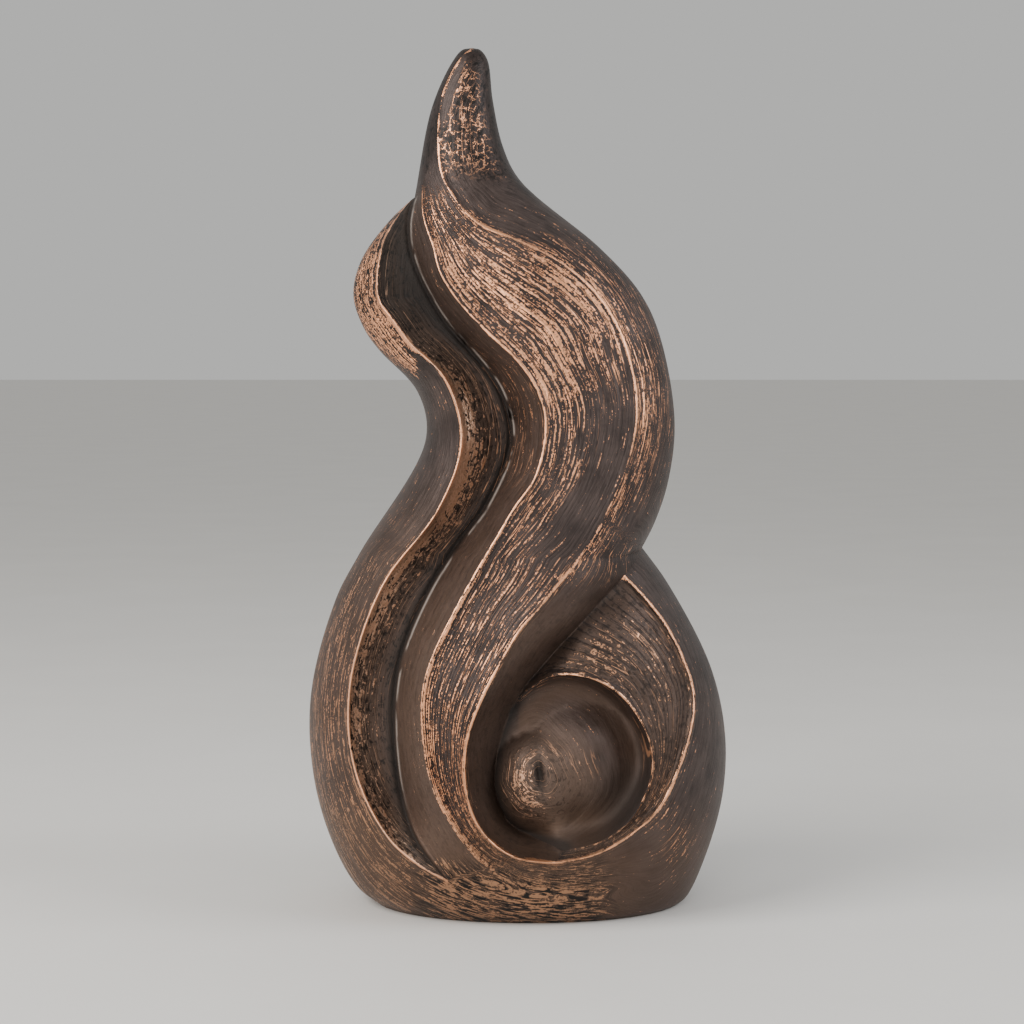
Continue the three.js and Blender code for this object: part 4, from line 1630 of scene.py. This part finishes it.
@dataclass(frozen=True)
class ToolMarks:
    """Fine comb marks that follow the flow, raised by a node tree and fixed into the mesh."""

    depth: float = 0.75 * MM
    spacing: float = 1.5
    length: float = 35 * MM
    detail: float = 1.5
    seed: float = 4.0

    def sizes(self) -> dict[str, float]:
        """Values of the tree's inputs, by name."""
        return {"Depth": self.depth, "Spacing": self.spacing, "Length": self.length, "Seed": self.seed}

    def tree(self, material: bpy.types.Material) -> bpy.types.NodeTree:
        """Build the node tree.

        Args:
            material: Material that the tree sets.

        Returns:
            The tree, with its sizes as named inputs.
        """
        tree = bpy.data.node_groups.new("tool_marks", "GeometryNodeTree")
        tree.interface.new_socket("Geometry", in_out="INPUT", socket_type="NodeSocketGeometry")
        for name, value in self.sizes().items():
            size = tree.interface.new_socket(name, in_out="INPUT", socket_type="NodeSocketFloat")
            size.default_value = value
        tree.interface.new_socket("Geometry", in_out="OUTPUT", socket_type="NodeSocketGeometry")
        write = NodeWriter(tree)
        given, out = write.add("NodeGroupInput").outputs, write.add("NodeGroupOutput")
        flow, tooled = (write.mesh_value(name) for name in ("flow", "tooled"))
        place = write.add("GeometryNodeInputPosition").outputs[0]
        place = write.add("ShaderNodeSeparateXYZ", {0: place}).outputs
        inputs = {
            "X": write.maths("DIVIDE", flow, given["Spacing"]),
            "Y": write.maths("DIVIDE", place["X"], given["Length"]),
            "Z": write.maths("DIVIDE", place["Z"], given["Length"]),
        }
        vector = write.add("ShaderNodeCombineXYZ", inputs).outputs[0]
        inputs = {"Vector": vector, "W": given["Seed"], "Scale": 1.0, "Detail": self.detail}
        noise = write.add("ShaderNodeTexNoise", inputs, noise_dimensions="4D").outputs[0]
        rise = write.maths("MULTIPLY", write.maths("SUBTRACT", noise, 0.5), tooled)
        inputs = {"Geometry": given["Geometry"], "Name": "raised", "Value": rise}
        keep = write.add("GeometryNodeStoreNamedAttribute", inputs, data_type="FLOAT", domain="POINT")
        inputs = {0: write.add("GeometryNodeInputNormal").outputs[0],
                  "Scale": write.maths("MULTIPLY", rise, given["Depth"])}
        offset = write.add("ShaderNodeVectorMath", inputs, operation="SCALE").outputs[0]
        inputs = {"Geometry": keep.outputs["Geometry"], "Offset": offset}
        moved = write.add("GeometryNodeSetPosition", inputs).outputs[0]
        real = write.add("GeometryNodeRealizeInstances", {0: moved}).outputs[0]
        finished = write.add("GeometryNodeSetMaterial", {"Geometry": real, "Material": material}).outputs[0]
        tree.links.new(finished, out.inputs[0])
        return tree

    def apply(self, piece: bpy.types.Object, material: bpy.types.Material) -> None:
        """Raise the marks on a piece and keep the result as its plain mesh.

        Args:
            piece: The piece.
            material: Its material.
        """
        tree = self.tree(material)
        modifier = piece.modifiers.new("tool_marks", "NODES")
        modifier.node_group = tree
        sizes = self.sizes()
        for socket in tree.interface.items_tree:
            if socket.item_type == "SOCKET" and socket.in_out == "INPUT" and socket.name in sizes:
                modifier[socket.identifier] = sizes[socket.name]
        graph = bpy.context.evaluated_depsgraph_get()
        mesh = bpy.data.meshes.new_from_object(piece.evaluated_get(graph))
        piece.modifiers.clear()
        piece.data = mesh


@dataclass(frozen=True)
class Strokes:
    """Noise drawn out along the tool marks, with its width and length in millimetres.

    Detail is the count of its octaves, and shift is where it starts, another place for each use.
    """

    width: float
    length: float
    detail: float
    shift: float

    @staticmethod
    def group(name: str = "stroke_field") -> bpy.types.NodeTree:
        """Build the group once: noise along the marks in front, and upright noise on the back.

        Args:
            name: Its name.

        Returns:
            The group.
        """
        if name in bpy.data.node_groups:
            return bpy.data.node_groups[name]
        tree = bpy.data.node_groups.new(name, "ShaderNodeTree")
        for size in ("Width", "Length", "Detail", "Shift"):
            tree.interface.new_socket(size, in_out="INPUT", socket_type="NodeSocketFloat")
        tree.interface.new_socket("Field", in_out="OUTPUT", socket_type="NodeSocketFloat")
        write = NodeWriter(tree)
        given, out = write.add("NodeGroupInput"), write.add("NodeGroupOutput")
        place = write.add("ShaderNodeTexCoord").outputs["Object"]
        place = write.add("ShaderNodeVectorMath", {0: place, "Scale": 1 / MM}, operation="SCALE").outputs[0]
        split = write.add("ShaderNodeSeparateXYZ", {0: place})
        x, y, z = (split.outputs[axis] for axis in ("X", "Y", "Z"))
        width, length = given.outputs["Width"], given.outputs["Length"]
        fields = []
        for across, second, size in ((write.attribute("flow"), x, length), (x, y, width)):
            across = write.maths("ADD", write.maths("DIVIDE", across, width), given.outputs["Shift"])
            along = (write.maths("DIVIDE", second, size), write.maths("DIVIDE", z, length))
            vector = write.add("ShaderNodeCombineXYZ", {"X": across, "Y": along[0], "Z": along[1]}).outputs[0]
            fields.append(write.noise(vector, 1.0, given.outputs["Detail"], 0.55))
        front, back = fields
        tree.links.new(write.blend(write.attribute("behind"), front, back), out.inputs["Field"])
        return tree

    def place(self, write: NodeWriter) -> bpy.types.NodeSocket:
        """Place the group in a tree.

        Args:
            write: Writer of that tree.

        Returns:
            The socket that gives the field.
        """
        sizes = {"Width": self.width, "Length": self.length, "Detail": self.detail, "Shift": self.shift}
        return write.add("ShaderNodeGroup", sizes, node_tree=self.group()).outputs["Field"]


@dataclass(frozen=True)
class RubbedBronze:
    """Dark brown patina, brushed and rubbed through to bright copper on ridges and tool marks.

    The field is a noise that runs along the marks, and the copper shows where it passes a level. The level
    is lower where the mesh is rubbed more.
    """

    black: Colour = (0.008, 0.006, 0.005)
    dark: Colour = (0.024, 0.016, 0.014)
    grey: Colour = (0.090, 0.064, 0.056)
    brown: Colour = (0.115, 0.066, 0.042)
    copper: Colour = (1.0, 0.47, 0.25)
    dull: Colour = (0.32, 0.185, 0.11)
    sand: Colour = (0.62, 0.40, 0.28)
    # Pale: a painted highlight along the bead beside the crease.
    pale: Colour = (0.55, 0.48, 0.43)
    wide: Strokes = Strokes(0.85, 11.0, 3.0, 0.0)
    fine: Strokes = Strokes(0.4, 4.5, 2.0, 31.0)
    short: Strokes = Strokes(0.85, 3.4, 3.0, 53.0)
    dashes: Strokes = Strokes(0.9, 7.0, 2.5, 77.0)
    slow: Strokes = Strokes(2.6, 70.0, 1.5, 12.0)
    comb_spacing: float = 2.3
    comb_waver: float = 9.0
    stroke_gain: float = 0.76
    grit_gain: float = 0.32
    cloud_gain: float = 0.1
    raised_gain: float = 0.35
    groove_gain: float = -0.08
    ribbed_gain: float = -0.05
    field_base: float = -0.09
    level: float = 0.645
    level_by_rub: float = -0.30
    level_by_edge: float = -0.28
    # The level rises, for less copper, where painted shade and dark patina lie.
    level_by_hollow: float = 0.2
    level_soft: float = 0.035
    # How far below the level the painted shadow round the copper begins.
    shadow_ring_width: float = 0.04
    crack_scale: float = 250.0
    crack_bend: float = 8 * MM
    roughness: float = 0.42
    metallic: float = 0.6
    relief: float = 0.35 * MM

    def material(self) -> bpy.types.Material:
        """Build the material.

        Returns:
            The material.
        """
        material = bpy.data.materials.new("rubbed_bronze")
        material.use_nodes = True
        write = NodeWriter(material.node_tree)
        shader = material.node_tree.nodes["Principled BSDF"]
        link = material.node_tree.links.new
        part = self.noises(write)
        part |= {name: write.attribute(name) for name in ("rub", "warm", "hollow", "beige_and_painted_light")}
        part["field"] = self.field(write, part)
        self.show_copper(write, part)
        colour = write.mix(part["bright"], self.patina(write, part), self.metal(write, part))
        # The bead is painted pale, a painted highlight broken by noise.
        bead = write.ramp(write.noise(part["place"], 90, 2), 0.38, 0.55)
        bead = write.maths("MULTIPLY", bead, write.attribute("bead"))
        link(write.mix(write.maths("MULTIPLY", bead, 0.9), colour, self.pale), shader.inputs["Base Color"])
        rough = write.maths("MULTIPLY_ADD", part["bright"], -0.14, self.roughness)
        rough = write.maths("MULTIPLY_ADD", part["grit"], 0.12, rough)
        link(write.maths("MULTIPLY_ADD", part["hollow"], 0.3, rough), shader.inputs["Roughness"])
        metallic = write.maths("MULTIPLY_ADD", part["bright"], 0.35, self.metallic)
        link(write.maths("MULTIPLY_ADD", part["hollow"], -0.3, metallic), shader.inputs["Metallic"])
        height = write.maths("MULTIPLY_ADD", part["bright"], 0.5, write.maths("MULTIPLY", part["field"], 1.2))
        height = write.maths("MULTIPLY_ADD", part["grit"], 0.15, height)
        height = write.maths("MULTIPLY_ADD", part["groove"], -0.5, height)
        bump = write.add("ShaderNodeBump", {"Height": height, "Strength": 0.7, "Distance": self.relief})
        link(bump.outputs[0], shader.inputs["Normal"])
        return material

    def noises(self, write: NodeWriter) -> dict[str, bpy.types.NodeSocket]:
        """Add the strokes, the comb lines and the plain noises.

        Args:
            write: Writer of the material's tree.

        Returns:
            Sockets by name.
        """
        place = write.add("ShaderNodeTexCoord").outputs["Object"]
        kinds = {"wide": self.wide, "fine": self.fine, "short": self.short, "dashes": self.dashes,
                 "slow": self.slow}
        strokes = {name: kind.place(write) for name, kind in kinds.items()}
        phase = write.maths("MULTIPLY", write.attribute("flow"), math.tau / self.comb_spacing)
        comb = write.maths("SINE", write.maths("MULTIPLY_ADD", strokes["slow"], self.comb_waver, phase))
        groove = write.maths("MULTIPLY", write.ramp(comb, 0.25, 0.8), write.attribute("combed"))
        blotch = write.noise(place, 330, 4, 0.6, 0.6)
        return {
            **strokes,
            "place": place,
            "groove": write.maths("MULTIPLY", groove, write.ramp(strokes["fine"], 0.62, 0.44)),
            "ribbed": write.maths("MULTIPLY", comb, write.attribute("combed")),
            "blotch": blotch,
            "grit": write.noise(place, 900, 3, 0.6),
            "cloud": write.noise(place, 26, 3, 0.55),
            "pitted": write.attribute("pitted"),
            "bottom": write.attribute("bottom"),
            "spotted": write.blend(0.6, strokes["short"], blotch),
        }

    def field(self, write: NodeWriter, part: dict[str, bpy.types.NodeSocket]) -> bpy.types.NodeSocket:
        """Add the strokes, spots and grit up to the field that the copper is cut from.

        Args:
            write: Writer of the material's tree.
            part: Sockets by name.

        Returns:
            The socket of the field.
        """
        drawn = write.blend(0.36, part["wide"], part["fine"])
        total = write.blend(part["pitted"], drawn, part["spotted"])
        total = write.blend(part["bottom"], total, part["dashes"])
        total = write.maths("MULTIPLY_ADD", total, self.stroke_gain, self.field_base)
        gains = ((part["grit"], self.grit_gain), (part["cloud"], self.cloud_gain),
                 (write.attribute("raised"), self.raised_gain), (part["groove"], self.groove_gain),
                 (part["ribbed"], self.ribbed_gain))
        for socket, gain in gains:
            total = write.maths("MULTIPLY_ADD", socket, gain, total)
        return total

    def show_copper(self, write: NodeWriter, part: dict[str, bpy.types.NodeSocket]) -> None:
        """Find where the copper shows, and where a painted shadow lies round it as a thin dark ring. Both
        join the sockets.

        Args:
            write: Writer of the material's tree.
            part: Sockets by name.
        """
        wavy = write.maths("MULTIPLY_ADD", write.noise(part["place"], 170, 3), 2.6, -0.3)
        part["edge"] = write.maths("MULTIPLY", write.attribute("edge"), wavy)
        level = write.maths("MULTIPLY_ADD", part["rub"], self.level_by_rub, self.level)
        level = write.maths("MULTIPLY_ADD", part["edge"], self.level_by_edge, level)
        # Less copper where painted shade and dark patina lie.
        level = write.maths("MULTIPLY_ADD", part["hollow"], self.level_by_hollow, level)
        bright = write.ramp(part["field"], level, write.maths("ADD", level, self.level_soft))
        vein = write.maths("ABSOLUTE", write.maths("SUBTRACT", part["slow"], 0.5))
        vein = write.maths("MULTIPLY", write.ramp(vein, 0.014, 0.005), write.ramp(part["fine"], 0.42, 0.5))
        vein = write.maths("MULTIPLY", vein, write.ramp(part["rub"], 0.12, 0.3))
        bright = write.maths("MAXIMUM", bright, vein)
        part["bright"] = write.maths("MAXIMUM", bright, self.cracks(write, part))
        # A painted shadow: a thin dark ring just below the level, round each copper stroke.
        part["near"] = write.ramp(part["field"], write.maths("SUBTRACT", level, self.shadow_ring_width), level)

    def cracks(self, write: NodeWriter, part: dict[str, bpy.types.NodeSocket]) -> bpy.types.NodeSocket:
        """Add the broken network of thin bright lines on the tip.

        Args:
            write: Writer of the material's tree.
            part: Sockets by name.

        Returns:
            The socket of the lines.
        """
        inputs = {"Vector": part["place"], "Scale": 260, "Detail": 3.0}
        bend = write.add("ShaderNodeTexNoise", inputs).outputs["Color"]
        inputs = {0: bend, "Scale": self.crack_bend}
        bend = write.add("ShaderNodeVectorMath", inputs, operation="SCALE").outputs[0]
        bent = write.add("ShaderNodeVectorMath", {0: part["place"], 1: bend}, operation="ADD").outputs[0]
        inputs = {"Vector": bent, "Scale": self.crack_scale}
        cells = write.add("ShaderNodeTexVoronoi", inputs, feature="DISTANCE_TO_EDGE")
        line = write.ramp(cells.outputs["Distance"], 0.08, 0.03)
        line = write.maths("MULTIPLY", line, write.attribute("crackled"))
        return write.maths("MULTIPLY", line, write.ramp(part["blotch"], 0.46, 0.56))

    def patina(self, write: NodeWriter, part: dict[str, bpy.types.NodeSocket]) -> bpy.types.NodeSocket:
        """Mix the dark patina, with the painted shade of the folds and the painted shadow round the copper.

        Args:
            write: Writer of the material's tree.
            part: Sockets by name.

        Returns:
            The socket of its colour.
        """
        tone = write.blend(0.5, part["wide"], write.noise(part["place"], 55, 4, 0.6))
        colour = write.mix(write.ramp(tone, 0.3, 0.7), self.dark, self.grey)
        spots = write.maths("MULTIPLY", part["pitted"], write.ramp(part["spotted"], 0.49, 0.41))
        dents = write.maths("MULTIPLY", part["bottom"], write.ramp(part["dashes"], 0.5, 0.43))
        layers = (
            (part["warm"], 0.75, self.brown),
            # Lighter patina: sand in the channel, painted light on the boss.
            (part["beige_and_painted_light"], 0.3, self.sand),
            (part["pitted"], 0.6, self.dark),
            # Painted shadow round the copper strokes.
            (part["near"], 0.4, self.dark),
            (part["groove"], 0.85, self.dark),
            (write.maths("MAXIMUM", spots, dents), 1.0, self.black),
            # Painted shade in the folds and pits, laid with their dark patina.
            (part["hollow"], 0.85, self.black),
        )
        for mask, amount, layer in layers:
            colour = write.mix(write.maths("MULTIPLY", mask, amount), colour, layer)
        return colour

    def metal(self, write: NodeWriter, part: dict[str, bpy.types.NodeSocket]) -> bpy.types.NodeSocket:
        """Mix the bare metal, brightest along the ridges.

        Args:
            write: Writer of the material's tree.
            part: Sockets by name.

        Returns:
            The socket of its colour.
        """
        colour = write.mix(write.maths("MULTIPLY", part["warm"], 0.85), self.copper, self.dull)
        colour = write.mix(part["beige_and_painted_light"], colour, self.sand)
        colour = write.mix(write.ramp(part["grit"], 0.35, 0.6), write.mix(0.5, colour, self.dull), colour)
        return write.mix(write.maths("MULTIPLY", part["edge"], 0.7), colour, self.copper)


class FlameUrn:
    """The whole casting."""

    def __init__(self, low: Vector, high: Vector) -> None:
        """Take the size from the frame.

        Args:
            low: Lowest corner of the node's box, in metres.
            high: Highest corner of it.
        """
        self.low, self.high = Vector(low), Vector(high)
        self.form = FlameForm((self.high.z - self.low.z) / MM, Pose(), Carving())
        self.centre = Vector((0, 0, 0))

    def build(self) -> bpy.types.Object:
        """Make the mesh with its values for the finish.

        Returns:
            The piece.
        """
        points, angle, triangles = RowMesher(self.form).build()
        wear = WearMap(self.form, Wear(), points, angle)
        mesh = bpy.data.meshes.new("flame_casting")
        middle = (points.min(0) + points.max(0)) / 2 * MM
        wanted = (self.low + self.high) / 2
        self.centre = Vector((wanted.x - middle[0], wanted.y - middle[1], 0))
        moved = points * MM + np.array(self.centre)
        mesh.vertices.add(len(moved))
        mesh.vertices.foreach_set("co", moved.ravel())
        mesh.loops.add(triangles.size)
        mesh.loops.foreach_set("vertex_index", triangles.ravel())
        mesh.polygons.add(len(triangles))
        mesh.polygons.foreach_set("loop_start", np.arange(0, triangles.size, 3))
        mesh.polygons.foreach_set("use_smooth", np.ones(len(triangles), bool))
        mesh.update(calc_edges=True)
        mesh.validate()
        for name, values in wear.attributes().items():
            mesh.attributes.new(name, "FLOAT", "POINT").data.foreach_set("value", values.astype(np.float32))
        piece = bpy.data.objects.new("flame_casting", mesh)
        bpy.context.scene.collection.objects.link(piece)
        return piece

    def dress(self, piece: bpy.types.Object) -> None:
        """Raise the tool marks and give the piece its finish.

        Args:
            piece: The piece.
        """
        ToolMarks().apply(piece, RubbedBronze().material())


@dataclass(frozen=True)
class Studio:
    """Pale floor, soft light, and the camera at the photograph's viewing angle.

    The camera's distance, level and shift aside are in heights of the object, and its pitch in degrees.
    """

    height: float
    side_plane: float
    lens: float = 85.0
    pitch: float = 4.305
    away: float = 2.8382
    level: float = 0.67367
    aside: float = -0.00681
    floor_reach: float = 30.0
    floor_dark: Colour = (0.74, 0.72, 0.69)
    floor_light: Colour = (0.80, 0.78, 0.75)
    sky: Colour = (0.92, 0.92, 0.90)
    sky_strength: float = 0.6

    def floor(self) -> bpy.types.Object:
        """Make the floor.

        Returns:
            The floor.
        """
        size = self.floor_reach * self.height
        mesh = bpy.data.meshes.new("floor")
        corners = [(-size, -size, 0), (size, -size, 0), (size, size, 0), (-size, size, 0)]
        mesh.from_pydata(corners, [], [(0, 1, 2, 3)])
        floor = bpy.data.objects.new("floor", mesh)
        material = bpy.data.materials.new("pale_floor")
        material.use_nodes = True
        write = NodeWriter(material.node_tree)
        place = write.add("ShaderNodeTexCoord").outputs["Object"]
        colour = write.mix(write.noise(place, 9, 3), self.floor_dark, self.floor_light)
        shader = material.node_tree.nodes["Principled BSDF"]
        material.node_tree.links.new(colour, shader.inputs["Base Color"])
        shader.inputs["Roughness"].default_value = 0.7
        mesh.materials.append(material)
        bpy.context.scene.collection.objects.link(floor)
        return floor

    def lamp(self, name: str, place: tuple[float, float, float], size: float, power: float,
             colour: Colour) -> None:
        """Hang a square soft light that points at the middle of the object.

        Args:
            name: Its name.
            place: Its place in heights of the object.
            size: Its side in heights of the object.
            power: Its power in watts.
            colour: Its colour.
        """
        light = bpy.data.lights.new(name, "AREA")
        light.size = size * self.height
        light.energy = power
        light.color = colour
        lamp = bpy.data.objects.new(name, light)
        lamp.location = Vector(place) * self.height
        aim = Vector((0, 0, 0.5 * self.height)) - lamp.location
        lamp.rotation_euler = aim.to_track_quat("-Z", "Y").to_euler()
        bpy.context.scene.collection.objects.link(lamp)

    def light(self) -> None:
        """Set the soft light from above and round about."""
        self.lamp("sky_left", place=(-2.6, -1.8, 2.6), size=2.4, power=24, colour=(1.0, 0.98, 0.95))
        self.lamp("sky_right", place=(2.8, -1.0, 2.0), size=1.6, power=9, colour=(0.93, 0.96, 1.0))
        self.lamp("front", place=(-0.6, -4.0, 1.6), size=2.0, power=9, colour=(1.0, 0.97, 0.94))
        world = bpy.data.worlds.new("soft_sky")
        world.use_nodes = True
        sky = world.node_tree.nodes["Background"]
        sky.inputs["Color"].default_value = (*self.sky, 1.0)
        sky.inputs["Strength"].default_value = self.sky_strength
        bpy.context.scene.world = world

    def camera(self) -> None:
        """Set the camera."""
        data = bpy.data.cameras.new("camera")
        data.lens = self.lens
        camera = bpy.data.objects.new("camera", data)
        camera.location = (self.aside * self.height, self.side_plane - self.away * self.height,
                           self.level * self.height)
        camera.rotation_euler = (math.radians(90 - self.pitch), 0, 0)
        bpy.context.scene.collection.objects.link(camera)
        bpy.context.scene.camera = camera


def main() -> None:
    """Build the pieces in order."""
    logging.basicConfig(level=logging.INFO, format="%(name)s: %(message)s")
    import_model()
    low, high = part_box(NODE)
    urn = FlameUrn(low, high)
    piece = urn.build()
    LOG.info("cast %s with %d triangles", piece.name, len(piece.data.polygons))
    urn.dress(piece)
    LOG.info("tooled and dressed %s", piece.name)
    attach(piece, "root")
    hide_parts(NODE)
    studio = Studio(urn.form.height * MM, urn.centre.y)
    studio.floor()
    studio.light()
    studio.camera()
    LOG.info("studio is set")


if __name__ == "__main__":
    main()
